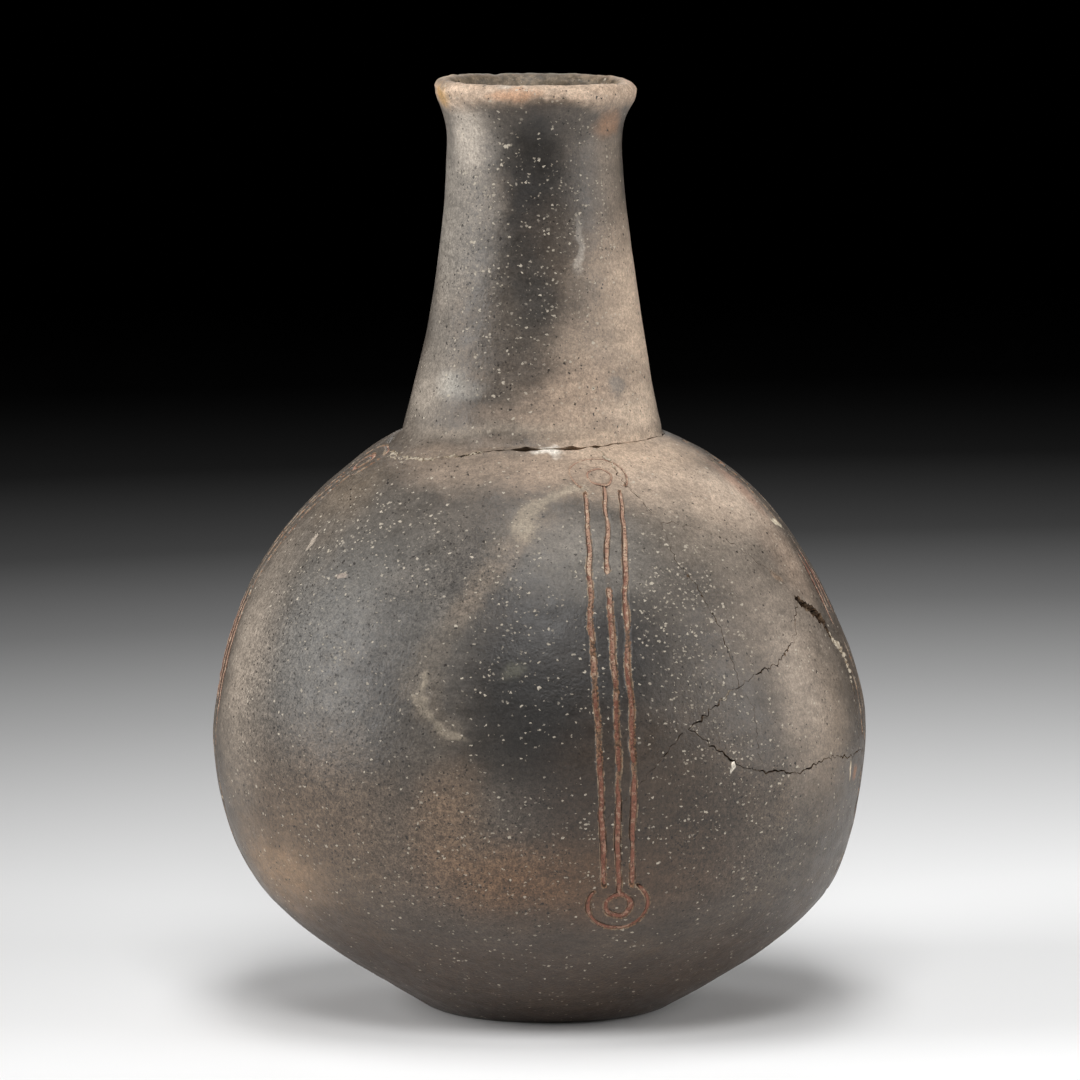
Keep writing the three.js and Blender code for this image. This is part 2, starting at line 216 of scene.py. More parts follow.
# Smoke clouds, fire marks and worn places on the wall, with a few painted highlights and some
# painted sheen among them, in degrees and millimetres. Each has an azimuth and a height, its
# half-sizes across and up, a tilt (its right end goes down), how soft its edge is, a colour from
# 0 to 255 on screen, and a strength.
CLOUDS = (
    # name, azimuth, height, across, up, tilt, softness, screen colour, strength
    # Partly the clay's cool grey and partly a painted highlight from the lamp on the left
    ("grey of the left side", -42, 108, 46, 44, 0, 0.9, (102, 99, 94), 0.75),
    ("charcoal of the front", 6, 100, 33, 38, 8, 0.55, (47, 44, 42), 0.90),
    ("charcoal, deepest", -5, 90, 22, 20, 0, 0.9, (38, 36, 34), 0.80),
    # Grey clay over the charcoal, brightened with a painted sheen of light from the front
    ("grey over the charcoal", 12, 128, 24, 13, 0, 0.9, (134, 127, 118), 0.74),
    ("smoke under the panel", 14, 66, 28, 24, 0, 0.8, (60, 47, 37), 0.75),
    ("brown of the low left", -46, 56, 48, 26, 0, 0.8, (98, 80, 63), 0.68),
    ("smoke of the low left", -27, 90, 11, 34, -4, 0.9, (62, 57, 52), 0.72),
    ("tan of the low left edge", -58, 41, 24, 15, 20, 0.9, (148, 122, 96), 0.72),
    ("tan of the low front", -16, 62, 11, 17, 12, 0.9, (122, 98, 76), 0.55),
    ("tan over the foot", -8, 48, 22, 11, -8, 0.9, (124, 98, 74), 0.60),
    ("brown over the foot", 8, 46, 46, 15, 0, 0.9, (100, 70, 45), 0.68),
    # Tan clay of the left flank, brightened with painted light from the left
    ("tan flank", -68, 96, 17, 42, 0, 0.9, (160, 146, 131), 0.68),
    ("pale of the left shoulder", -62, 140, 16, 10, 30, 0.9, (136, 120, 102), 0.45),
    ("buff of the right shoulder", 41, 141.5, 31, 11, 20, 0.8, (197, 175, 154), 0.85),
    ("brown under the buff", 44, 128, 24, 10, 20, 0.9, (148, 135, 121), 0.62),
    ("buff beside the neck", 44, 150, 30, 8, 8, 0.8, (200, 176, 153), 0.88),
    ("buff by the right panel", 66, 135, 18, 11, 20, 0.8, (199, 178, 158), 0.82),
    ("tan by the right panel", 71, 121, 11, 15, 0, 0.9, (166, 144, 125), 0.70),
    ("pink by the right panel", 76, 138, 5, 12, 0, 0.8, (164, 130, 110), 0.60),
    ("cream chip by the right panel", 80.5, 127.6, 3.4, 1.1, 31, 0.5, (224, 210, 184), 0.80),
    ("orange smear", 62, 118.4, 3.0, 1.1, 38, 0.7, (168, 132, 100), 0.50),
    ("pale of the right side", 56, 106, 24, 24, 0, 0.8, (148, 134, 120), 0.70),
    ("pale low right", 60, 82, 17, 24, 10, 0.8, (150, 133, 116), 0.62),
    ("grey beside the panel", 30, 120, 14, 14, 0, 0.9, (120, 112, 103), 0.25),
    ("brown of the low right", 26, 62, 34, 30, 0, 0.9, (62, 50, 39), 0.84),
    ("brown at the far right", 81, 66, 12, 33, 0, 0.9, (70, 58, 47), 0.88),
    ("pale streak, low right", 54, 90, 13, 22, 0, 0.95, (170, 155, 140), 0.66),
    ("stain at the crack's end", 73.5, 67.8, 2.4, 2.4, 0, 0.6, (150, 104, 70), 0.70),
    ("cream at the crack's end", 70.4, 68.4, 0.8, 2.2, 0, 0.5, (216, 198, 172), 0.80),
    ("white drip", 35.0, 74.4, 0.6, 1.9, 14, 0.4, (224, 214, 198), 0.85),
    ("tan under the seam", -22, 147.5, 28, 5.5, 0, 0.8, (158, 139, 121), 0.65),
    ("tan over the panel", 12, 146, 22, 5, 0, 0.8, (172, 150, 130), 0.75),
    ("dark of the left shoulder", -30, 140, 16, 7, 10, 0.8, (98, 92, 85), 0.20),
    ("scuff in the charcoal", -5, 100.6, 4.6, 2.6, -20, 0.8, (108, 105, 90), 0.50),
    ("chipped spot, left", -60, 128, 0.9, 2.8, 10, 0.5, (206, 190, 172), 0.60),
    ("chipped spots, left", -44, 121, 2.6, 0.9, -6, 0.5, (200, 180, 164), 0.50),
    # A painted highlight on the rounded shoulder just under the seam
    ("shine under the seam", 6, 150, 3.8, 1.2, 4, 0.6, (226, 218, 206), 0.85),
    ("back charcoal", 172, 96, 40, 34, 10, 0.6, (48, 45, 42), 0.88),
    ("back buff", 206, 132, 26, 10, 12, 0.8, (160, 138, 114), 0.70),
    ("back brown", 210, 66, 44, 26, 0, 0.9, (100, 82, 64), 0.60),
    ("right grey", 112, 104, 30, 32, 0, 0.8, (88, 84, 80), 0.65),
    ("right brown", 126, 58, 38, 22, 0, 0.9, (104, 84, 66), 0.60),
    ("left charcoal", -112, 112, 26, 26, 0, 0.7, (54, 51, 48), 0.80),
    ("left tan", -128, 82, 22, 26, 14, 0.9, (124, 106, 86), 0.50),
    # Partly the neck's grey clay and partly a painted highlight from the lamp on the left
    ("neck grey", -60, 212, 16.5, 44, 0, 0.8, (146, 138, 128), 0.80),
    ("neck charcoal", 4, 217, 9.3, 28, 0, 0.6, (45, 42, 40), 0.92),
    ("neck smoke", 8, 190, 8.6, 22, -6, 0.8, (60, 55, 50), 0.85),
    ("neck smoke, middle", 19, 204, 10, 15, -8, 0.8, (70, 61, 53), 0.85),
    ("pale streak of the neck", 31, 203, 1.2, 7, 0, 0.6, (178, 172, 163), 0.60),
    ("neck smoke, right", 26, 216, 6, 18, 0, 0.8, (76, 69, 62), 0.55),
    ("neck tan, right edge", 56, 224, 8, 15, 0, 0.9, (146, 131, 116), 0.62),
    ("neck wear, low left", -45, 166.5, 7.5, 5, 10, 0.6, (168, 168, 162), 0.60),
    ("neck wear, left", -30, 165.5, 6, 3, -10, 0.6, (142, 140, 134), 0.40),
    ("neck buff", 67, 184, 19, 30, 0, 0.8, (196, 173, 151), 0.85),
    ("neck buff, middle", 29, 180, 14, 9, -20, 0.9, (172, 152, 133), 0.78),
    ("neck buff, low", 24, 166, 18, 11, 0, 0.8, (182, 159, 138), 0.78),
    ("neck smoke, low", -4, 172, 10, 8, 0, 0.8, (82, 73, 65), 0.78),
    ("neck buff, foot", 18, 158, 27, 5.5, 0, 0.8, (180, 158, 138), 0.76),
    ("pale line of the foot", -20, 154.6, 28, 2.6, 0, 0.9, (150, 137, 122), 0.65),
    ("buff of the foot, right", 58, 159, 16, 8, 0, 0.9, (204, 182, 160), 0.70),
    ("neck buff, left foot", -62, 166, 17, 15, 0, 0.9, (170, 158, 144), 0.70),
    ("neck grey spot", 43, 167, 3.4, 3.8, 0, 0.5, (104, 101, 96), 0.60),
    ("neck fire mark", 54, 233, 5, 4, 0, 0.8, (162, 118, 84), 0.50),
    # Pale clay under the lip, brightened with a painted reflection of the lamp on the left
    ("neck pale, top left", -45, 233, 7.5, 12, 0, 0.7, (198, 186, 172), 0.88),
    ("neck smoke, top", -5, 230, 10, 9.5, 0, 0.7, (42, 38, 34), 0.90),
    ("neck back buff", 150, 196, 18, 26, 0, 0.8, (148, 130, 108), 0.60),
    ("neck back smoke", 214, 214, 14, 22, 0, 0.7, (54, 50, 47), 0.80),
)
# Courses that a fire mark's pale rim follows: azimuths and heights, how far it reaches to each
# side, its strength and its colour, as the clouds
HALOS = (
    (((12, 143), (7.6, 142.2), (2.5, 140.9), (-1.4, 139.1), (-3.5, 134), (-7.1, 127.2),
      (-12.5, 119.5), (-17.5, 107.5), (-21.1, 98.7), (-21.3, 93.7), (-18.5, 86.2), (-14.5, 82.4)),
     4.0, 0.33, (122, 109, 94)),
    (((15, 142.2), (7.6, 142.2), (2.5, 140.9), (-1.4, 139.1), (-3.0, 136), (-3.6, 131)),
     1.7, 0.54, (182, 168, 148)),
    (((-20.6, 99), (-21.4, 94.5), (-20.9, 90.5), (-18.8, 86.6), (-15.8, 83.4), (-12.8, 81.6)),
     1.2, 0.50, (160, 147, 128)),
    (((-4.5, 131), (-7.5, 126.5), (-11, 121.5), (-15.5, 113)), 3.0, 0.26, (142, 124, 106)),
    (((158, 124), (150, 120), (143, 110), (141, 98)), 4.6, 0.60, (136, 116, 94)),
)
# Marks on the bare clay of the lip, as the clouds
LIP_MARKS = (
    ("gold of the lip", -72, 241.6, 6, 3.4, 0, 0.7, (206, 160, 92), 0.70),
    ("orange of the lip", -12, 242.4, 8, 1.9, -4, 0.7, (198, 146, 108), 0.55),
    ("smoke under the lip", 1, 236.9, 18, 5.0, 0, 0.5, (60, 53, 46), 0.94),
    ("worn crest", -13, 245, 5, 1.0, 0, 0.8, (216, 204, 188), 0.60),
    ("dust on the left crest", -75, 245, 12, 1.4, 0, 0.8, (122, 108, 94), 0.65),
    ("dust on the far crest", 180, 245, 24, 3, 0, 0.8, (94, 82, 68), 0.85),
    ("dark notch of the lip", 10, 240.2, 8, 1.6, 0, 0.7, (84, 70, 58), 0.60),
    ("brown of the lip", 128, 242.5, 14, 3, 0, 0.8, (150, 116, 88), 0.60),
    ("smoke on the back crest", -150, 244, 16, 3, 0, 0.8, (96, 84, 72), 0.70),
)
# Where temper grains and pits are crowded: as the clouds, with a strength in place of a colour
TEMPER_PLACES = (
    ("right of the panel", 31, 114, 19, 28, 10, 0.8, 1.30),
    ("low right", 34, 78, 26, 22, 0, 0.9, 0.60),
    ("left of the panel", -4, 112, 14, 26, 0, 0.9, 0.40),
    ("under the left shoulder", -40, 132, 26, 12, 10, 0.8, 0.60),
    ("upper left flank", -58, 118, 12, 14, 0, 0.8, 0.45),
    ("low front", 0, 52, 46, 16, 0, 0.9, 0.35),
    ("neck", -6, 205, 26, 44, 0, 0.6, 0.42),
    ("neck, right", 40, 190, 16, 34, 0, 0.8, 0.25),
    ("back", 170, 104, 44, 34, 0, 0.9, 0.50),
)
PIT_PLACES = (
    ("left side", -46, 88, 42, 40, 0, 0.8, 0.60),
    ("low front", -14, 52, 40, 26, 0, 0.9, 0.60),
    ("low right", 36, 56, 32, 26, 0, 0.9, 0.55),
    ("foot of the neck", 10, 168, 24, 16, 0, 0.9, 0.12),
    ("left of the neck", -40, 196, 16, 40, 0, 0.9, 0.30),
    ("beside the halo", -16, 122, 20, 18, 0, 0.9, 0.45),
    ("back", -150, 84, 50, 40, 0, 0.9, 0.50),
)


# Shapes

def sizes(group):
    """One of the scene's groups of settings."""
    return getattr(bpy.context.scene, group)


def smooth(value, low, high):
    """0 below low, 1 above high, and 3t^2 - 2t^3 between them."""
    t = np.clip((value - low) / (high - low), 0, 1)
    return t * t * (3 - 2 * t)


def unit(rows):
    """Each row of an array divided by its length."""
    return rows / np.linalg.norm(rows, axis=1, keepdims=True)


def ripple(points, wavelength, seed, waves=18):
    """Smooth noise of about unit size: a sum of plane waves sin(k . p + phase), with random
    directions and with lengths near the given one."""
    rng = np.random.default_rng(seed)
    points = np.asarray(points, float)
    directions = unit(rng.normal(size=(waves, points.shape[-1])))
    numbers = math.tau / (wavelength * rng.uniform(0.65, 1.5, waves))
    phases = rng.uniform(0, math.tau, waves)
    total = np.zeros(points.shape[:-1])
    for direction, number, phase in zip(directions, numbers, phases):
        total += np.sin(points @ direction * number + phase)
    return total * math.sqrt(2 / waves)


def rough(points, wavelength, seed, octaves=3):
    """Ragged noise: ripples added, each with half the wavelength and 0.6 of the size."""
    total, size = 0, 1
    for octave in range(octaves):
        total = total + size * ripple(points, wavelength / 2 ** octave, seed + octave)
        size *= 0.6
    return total


def along(values, seed, wavelength, octaves=3):
    """Ragged noise of one number, such as a distance along a line."""
    return rough(np.asarray(values, float)[..., None], wavelength, seed, octaves)


def along_ring(azimuth, seed, least, most):
    """Ragged noise that closes on itself round the bottle: waves sin(n a + phase) / sqrt(n)."""
    rng = np.random.default_rng(seed)
    total = 0
    for n in range(least, most):
        total = total + rng.normal() * np.sin(n * azimuth + rng.uniform(0, 6.3)) / math.sqrt(n)
    return total


def tapered(t, end=0.01):
    """1 in the middle of a course, falling to nothing at its ends: sqrt(sin(pi t))."""
    return np.sqrt(np.sin(math.pi * np.clip(t, end, 1 - end)))


def travelled(points):
    """How far along a broken line each of its points is."""
    steps = np.linalg.norm(np.diff(points, axis=0), axis=1)
    return np.concatenate([[0], np.cumsum(steps)])


def beside(course, closed=False):
    """The direction of travel at each point of a flat course, and the direction to its side."""
    if closed:
        ahead = unit(np.roll(course, -1, axis=0) - np.roll(course, 1, axis=0))
    else:
        ahead = unit(np.gradient(course, axis=0))
    return ahead, np.stack([-ahead[:, 1], ahead[:, 0]], axis=-1)


def twice_area(outline):
    """Twice the area inside a closed outline, negative if it runs clockwise."""
    x, y = outline.T
    return (x * np.roll(y, -1) - y * np.roll(x, -1)).sum()


def knot(radius, height, heading, arrive, leave):
    """A place on an outline, the heading there in degrees from outwards, and the shares of the
    spans before and after it over which the outline runs on straight."""
    angle = math.radians(heading)
    return np.array([radius, height]), np.array([math.cos(angle), math.sin(angle)]), arrive, leave


def inset(point, distance):
    """The same knot on a line at a distance inside the wall."""
    place, heading, arrive, leave = point
    return place + distance * np.array([-heading[1], heading[0]]), heading, arrive, leave


class Outline:
    """A curve through knots in the plane of radius and height, sampled by its length. Each span
    is the cubic Bezier (1-t)^3 a + 3(1-t)^2 t b + 3(1-t) t^2 c + t^3 d, with b and c on the
    headings of its ends."""

    def __init__(self, knots, count=500):
        t = np.linspace(0, 1, count)[:, None]
        spans = []
        for (a, ahead, _, leave), (d, behind, arrive, _) in zip(knots, knots[1:]):
            reach = np.linalg.norm(d - a)
            b, c = a + ahead * leave * reach, d - behind * arrive * reach
            spans.append((1 - t) ** 3 * a + 3 * (1 - t) ** 2 * t * b
                         + 3 * (1 - t) * t ** 2 * c + t ** 3 * d)
        points = np.vstack([spans[0]] + [s[1:] for s in spans[1:]])
        steps = np.linalg.norm(np.diff(points, axis=0), axis=1)
        self.points = points[np.concatenate([[True], steps > 1e-9])]
        self.distances = travelled(self.points)
        self.length = self.distances[-1]
        self.slopes = unit(np.gradient(self.points, self.distances, axis=0))

    def at(self, distance):
        """Radius, height, and the outward and upward parts of the direction of travel."""
        table = np.hstack([self.points, self.slopes])
        return [np.interp(distance, self.distances, column) for column in table.T]


SHOULDER_HEADING, NECK_HEADING = 156, 106  # of the body's and the neck's outlines at the seam


def body_knots():
    """The knots of the outer wall of the body: the edge of its base, haunch, belly and seam."""
    s = sizes("bottle_body")
    return [knot(s.base_radius, 0, 0, 0, 0.05),
            knot(s.haunch_radius, s.haunch_height, 47, 0.44, 0.39),
            knot(s.belly_radius, s.belly_height, 90, 0.1, 0.22),
            knot(s.seam_radius, s.seam_height, SHOULDER_HEADING, 0.45, 0)]


def neck_knots():
    """The knots of the outer wall of the neck: its root at the seam, its waist and its lip."""
    body, s = sizes("bottle_body"), sizes("bottle_neck")
    crest = body.seam_height + s.neck_length
    return [knot(body.seam_radius, body.seam_height, NECK_HEADING, 0, 0.21),
            knot(s.waist_radius, crest - s.waist_drop, 90, 0.27, 0.6),
            knot(s.lip_radius, crest - s.lip_crown, 90, 0.26, 0)]


def body_outline():
    """The outer wall of the body, from the edge of the base up to the seam."""
    return Outline(body_knots())


def inner_seam():
    """The inner edge of the seam, on the mitre of the shoulder's and the neck's slopes."""
    s = sizes("bottle_body")
    half_turn = (SHOULDER_HEADING - NECK_HEADING) / 2
    mitre = knot(s.seam_radius, s.seam_height, NECK_HEADING + half_turn, 0, 0)
    return inset(mitre, s.wall / math.cos(math.radians(half_turn)))[0]


def inner_body_outline():
    """The inner wall of the body, from the floor's edge up to the seam."""
    s = sizes("bottle_body")
    base, haunch, belly, seam = body_knots()
    return Outline([inset(base, s.floor), inset(haunch, s.wall), inset(belly, s.wall),
                    (inner_seam(), *seam[1:])])


def outer_radius(height):
    """The bottle's outer radius at a height."""
    on_body = height < sizes("bottle_body").seam_height
    wall = body_outline() if on_body else Outline(neck_knots())
    return float(np.interp(height, wall.points[:, 1], wall.points[:, 0]))


# Small wanderings of the centreline, as heights and offsets towards +X
WANDER = ((0, 0.020, 0.060, 0.105, 0.140, 0.155, 0.178, 0.250),
          (0, 0.0006, -0.0001, -0.0006, 0.0004, -0.0006, 0, 0))


def drift(height):
    """How far the centreline stands off the belly's axis: smooth steps from the foot to the belly
    and from the belly to the seam, and small wanderings between them."""
    s = sizes("bottle_body")
    foot = 0.002 * (1 - smooth(height, 0, s.belly_height))
    neck = -0.0015 * smooth(height, s.belly_height, s.seam_height)
    heights, offsets = (np.array(row) for row in WANDER)
    i = np.clip(np.searchsorted(heights, height) - 1, 0, len(heights) - 2)
    t = smooth(height, heights[i], heights[i + 1])
    return foot + neck + offsets[i] + (offsets[i + 1] - offsets[i]) * t


def turned(azimuth, radius, height):
    """The place at an azimuth in radians: x = r sin a + drift, y = -r cos a, z = height."""
    azimuth, radius, height = np.broadcast_arrays(azimuth, radius, height)
    x = radius * np.sin(azimuth) + drift(height)
    return np.stack([x, -radius * np.cos(azimuth), height], axis=-1)


def on_wall(outline, azimuth, drop, out=0.0):
    """The place on the body at a drop below the seam, moved out along the wall's normal: the
    radius grows by out times the upward slope, and the height falls by out times the outward."""
    radius, height, outward, upward = outline.at(outline.length - drop)
    return turned(azimuth, radius + out * upward, height - out * outward)


def laid(wall, azimuth, course, out):
    """Places of a course on the wall, given as distances across from an azimuth in degrees and
    drops, and moved out along the wall's normal."""
    across, drop = course.T
    radius = wall.at(wall.length - drop)[0]
    return on_wall(wall, math.radians(azimuth) + across / radius, drop, out)


def facing_out(points, faces):
    """The faces, all turned round if the closed shape that they make is inside out."""
    volume = 0.0
    for corners in ((0, 1, 2), (0, 2, 3)):
        used = [f for f in faces if len(f) > corners[2]]
        a, b, c = (points[np.array([f[i] for f in used])] for i in corners)
        volume += np.einsum("ij,ij->i", a, np.cross(b, c)).sum()
    return faces if volume > 0 else [f[::-1] for f in faces]


def mesh_of(name, points, faces, material, auto_smooth=40):
    """A mesh of those points and faces, smooth but for edges sharper than an angle."""
    mesh = bpy.data.meshes.new(name)
    mesh.from_pydata(np.asarray(points).tolist(), [], faces)
    mesh.materials.append(material)
    mesh.shade_smooth()
    mesh.set_sharp_from_angle(angle=math.radians(auto_smooth))
    return mesh


def ring_faces(rows, columns, closed):
    """The four-cornered faces between rings of points. Closed, the last ring joins the first."""
    column = np.arange(columns)
    following = (column + 1) % columns
    row = np.arange(rows if closed else rows - 1)[:, None] * columns
    above = (row + columns) % (rows * columns)
    quads = np.stack([row + column, row + following, above + following, above + column], axis=-1)
    return quads.reshape(-1, 4).tolist()


def end_faces(rows, columns):
    """Two faces that cap the first and last rings."""
    ring = list(range(columns))
    return [ring[::-1], [corner + (rows - 1) * columns for corner in ring]]


def pole_faces(rows, columns, start, end):
    """Fans of triangles from the first ring to one point and from the last ring to another."""
    pairs = [(a, (a + 1) % columns) for a in range(columns)]
    last = (rows - 1) * columns
    return [[start, b, a] for a, b in pairs] + [[last + a, last + b, end] for a, b in pairs]


def rings_mesh(name, rings, material, poles=True):
    """A closed surface through rings of points, each row of the array one ring. With poles its
    first and last rows shrink to a point, and without them the last ring joins the first."""
    rows, columns = rings.shape[:2]
    points = rings.reshape(-1, 3)
    faces = ring_faces(rows, columns, not poles)
    if poles:
        faces += pole_faces(rows, columns, len(points), len(points) + 1)
        points = np.vstack([points, rings[0].mean(axis=0), rings[-1].mean(axis=0)])
    return mesh_of(name, points, faces, material)


def tube(rings, closed):
    """The points and faces of a solid through rings of corners, its last ring joined to its first
    or both its ends capped."""
    rows, columns = rings.shape[:2]
    faces = ring_faces(rows, columns, closed) + ([] if closed else end_faces(rows, columns))
    points = rings.reshape(-1, 3)
    return points, facing_out(points, faces)


def object_of(name, mesh):
    """An object that holds a mesh, in the scene."""
    made = bpy.data.objects.new(name, mesh)
    bpy.context.scene.collection.objects.link(made)
    return made


def carved(mesh, cuts):
    """The mesh after each pair of an operation and a cutter's mesh, taken in turn."""
    base = object_of("carving", mesh)
    cutters = []
    for operation, cutter in cuts:
        cutters.append(object_of("cutter", cutter))
        step = base.modifiers.new("cut", "BOOLEAN")
        step.operation, step.object = operation, cutters[-1]
        step.solver, step.material_mode = "MANIFOLD", "TRANSFER"
    bpy.context.view_layer.update()
    graph = bpy.context.evaluated_depsgraph_get()
    result = bpy.data.meshes.new_from_object(base.evaluated_get(graph))
    for used in [base, *cutters]:
        bpy.data.objects.remove(used)
    if not len(result.polygons):
        raise RuntimeError(f"cutting {mesh.name} left nothing")
    return result


def finished(name, mesh, nodes):
    """A piece of the bottle: it rides with the row's one body and stands for its CAD nodes."""
    mesh.name = name
    piece = object_of(name, mesh)
    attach(piece, "root")
    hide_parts(*nodes)
    return piece


# Engraved panels

def lean_at(drop):
    """How far the lines have leaned to the right at a drop."""
    s = sizes("bottle_panels")
    return s.lean * (1 - smooth(drop, s.upper_ring_drop, s.lean_end))


def line_ends(stroke):
    """The drops of a line's upper and lower ends."""
    s = sizes("bottle_panels")
    if stroke == "middle_line":
        return s.upper_ring_drop + s.eye_radius, s.lower_ring_drop - s.eye_radius
    reach = math.sqrt(s.ring_radius ** 2 - s.line_spacing ** 2)
    return s.upper_ring_drop + reach, s.lower_ring_drop - reach


def seed_of(panel, stroke):
    """A number of its own for each stroke's noise."""
    return 1000 + 100 * list(PANEL_AZIMUTHS).index(panel) + 10 * STROKES.index(stroke)


def line_course(panel, stroke, drop):
    """How far across a line is at a drop: its spacing and lean, or the front panel's own course,
    and a slow wobble."""
    s = sizes("bottle_panels")
    wobble = 0.00009 * along(drop, seed_of(panel, stroke), 0.016, 2)
    if panel == "front":
        return np.interp(drop, *FRONT_LINES[stroke]) + wobble
    slow = 0.0003 * along(drop, seed_of(panel, stroke) + 7, 0.05, 1)
    return LINE_SIDES[stroke] * s.line_spacing + lean_at(drop) + slow + wobble


def ring_course(panel, stroke, radius, angle):
    """The wavering radius of a ring at an angle: r + a few waves round it, so that it closes."""
    rng = np.random.default_rng(seed_of(panel, stroke) + int(radius * 1e5))
    waver = 0
    for waves in range(2, 7):
        waver = waver + rng.normal() * np.sin(waves * angle + rng.uniform(0, 6.3)) / waves
    return radius + min(0.00035, 0.05 * radius) * waver


def ring_parts(panel, stroke):
    """The rings of a stroke: the centre's drop, radius, the mouth's facing in the plane of across
    and drop, and half the mouth's angle before and after it."""
    s = sizes("bottle_panels")
    down = math.pi / 2
    mouth = math.asin(s.line_spacing / s.ring_radius) + 0.0026 / s.ring_radius
    if stroke == "middle_line":
        return [(drop, s.eye_radius, down, 0, 0) for drop in (s.upper_ring_drop, s.lower_ring_drop)]
    if stroke == "upper_ring":
        return [(s.upper_ring_drop, s.ring_radius, down, mouth, mouth)]
    if stroke == "lower_ring":
        before = mouth - 0.28 if panel == "front" else mouth
        return [(s.lower_ring_drop, s.ring_radius, -down, before, mouth)]
    return []


def wear_at(panel, stroke, drop, across):
    """How far a stroke is worn away at a place, from 0 to 1: patches of noise, wider ones on the
    right panel, the front panel's rubbed top, and the break in its middle line."""
    place = np.stack(np.broadcast_arrays(drop, across), axis=-1)
    wear = 0.5 * smooth(rough(place, 0.014, seed_of(panel, stroke) + 5), 0.7, 1.6)
    s = sizes("bottle_panels")
    if panel == "right":
        wear = np.maximum(wear, smooth(rough(place, 0.026, seed_of(panel, stroke) + 7), -0.3, 0.9))
    if panel == "front":
        top = 1 - smooth(drop, s.upper_ring_drop + 0.0015, s.upper_ring_drop + 0.007)
        wear = np.maximum(wear, (0.74 if stroke == "upper_ring" else 0.9) * top)
        if stroke == "middle_line":
            fading, gone, back, whole = MIDDLE_BREAK
            gap = smooth(drop, fading, gone) * (1 - smooth(drop, back, whole))
            wear = np.maximum(wear, gap)
    return wear


def stroke_width(panel, stroke, drop, across, width):
    """Half the width of a stroke at a place: thinner where it is worn and at the front panel's
    top, with ragged edges."""
    place = np.stack(np.broadcast_arrays(drop, across), axis=-1)
    ragged = 1 + 0.05 * rough(place, 0.0150, seed_of(panel, stroke) + 3, 3)
    taper = 1 - 0.36 * (1 - smooth(drop, 0.026, 0.046)) if panel == "front" else 1
    thin = 0.72 if "ring" in stroke else 1
    wear = wear_at(panel, stroke, drop, across)
    return width / 2 * ragged * taper * thin * (1 - 0.4 * wear)


def stroke_gap(panel, stroke, across, drop):
    """How far places are from the middle of a stroke: from its line, and from each of its rings,
    held to the stretch between the line's ends and outside the ring's mouth."""
    gaps = []
    if stroke in LINE_SIDES:
        top, bottom = line_ends(stroke)
        held = np.clip(drop, top, bottom)
        gaps.append(np.hypot(across - line_course(panel, stroke, held), drop - held))
    for centre, radius, facing, before, after in ring_parts(panel, stroke):
        u, v = across - lean_at(drop), drop - centre
        turn = (np.arctan2(v, u) - facing) % math.tau
        held = np.clip(turn, before, math.tau - after) + facing
        course = ring_course(panel, stroke, radius, held)
        gaps.append(np.hypot(u - course * np.cos(held), v - course * np.sin(held)))
    return np.minimum.reduce(gaps)


def engraved(outline, azimuth, drop):
    """For places on the wall: the groove's depth as a share of the full depth, how far the place
    is inside the nearest groove's edge (negative outside), and how much of that groove is left."""
    width = sizes("bottle_panels").groove_width
    depth, kept = np.zeros(azimuth.shape), np.ones(azimuth.shape)
    inside = np.full(azimuth.shape, FAR_FROM_LINES)
    for panel in PANEL_AZIMUTHS:
        all_across = panel_across(outline, panel, azimuth, drop)
        near = np.abs(all_across - lean_at(drop)) < 0.0105
        across, down = all_across[near], drop[near]
        for stroke in STROKES:
            half = stroke_width(panel, stroke, down, across, width)
            within = half - stroke_gap(panel, stroke, across, down)
            left = 1 - wear_at(panel, stroke, down, across)
            cut = smooth(within, -0.00012, 0.00034) * left ** 0.7
            depth[near] = np.maximum(depth[near], cut)
            closer = within > inside[near]
            inside[near] = np.where(closer, within, inside[near])
            kept[near] = np.where(closer, left, kept[near])
    return depth, inside, kept


def panel_across(outline, panel, azimuth, drop):
    """How far round the wall places are from a panel's azimuth."""
    radius = outline.at(outline.length - drop)[0]
    turn = azimuth - math.radians(PANEL_AZIMUTHS[panel])
    return ((turn + math.pi) % math.tau - math.pi) * radius


# Body and sherds

def degrees_round(azimuth):
    """An azimuth as degrees from -180 to 180."""
    return (np.degrees(azimuth) + 180) % 360 - 180


def seam_course(azimuth):
    """How far down the shoulder the seam's crack runs at an azimuth."""
    ragged = 0.00022 * along_ring(azimuth, 61, 9, 60)
    return np.interp(degrees_round(azimuth), *np.array(SEAM_COURSE).T) * MM + ragged


def seam_gap(azimuth):
    """The width of the seam's crack: widest at a few places in front, and nearly closed on the
    left."""
    turn = degrees_round(azimuth)
    opened = sum(more * np.exp(-((turn - middle) / reach) ** 2)
                 for middle, reach, more in SEAM_OPENINGS)
    closed_left = smooth(-turn, 22, 34) * (1 - smooth(-turn, 100, 125))
    ragged = np.clip(1 + 0.42 * along_ring(azimuth, 67, 14, 90), 0.3, 2)
    return sizes("bottle_neck").seam_gap * (1 + opened) * (1 - 0.6 * closed_left) * ragged


def unevenness(points):
    """How far the hand-built wall stands in or out: slow swells, and the smaller dents that the
    burnishing stone left."""
    s = sizes("bottle_body")
    dents = 0.30 * ripple(points, 0.020, 12) + 0.10 * ripple(points, 0.008, 13)
    return s.unevenness * (ripple(points, 0.062, 11) + dents)


def spaced(*stretches):
    """Values through stretches of a start, an end and a rough step, each end the next start."""
    parts = [np.linspace(a, b, max(2, round(abs(b - a) / step) + 1)) for a, b, step in stretches]
    return np.concatenate([parts[0]] + [p[1:] for p in parts[1:]])


BAND_MARGIN = 0.0016  # from an outer ring to the edge of its panel's band of close columns


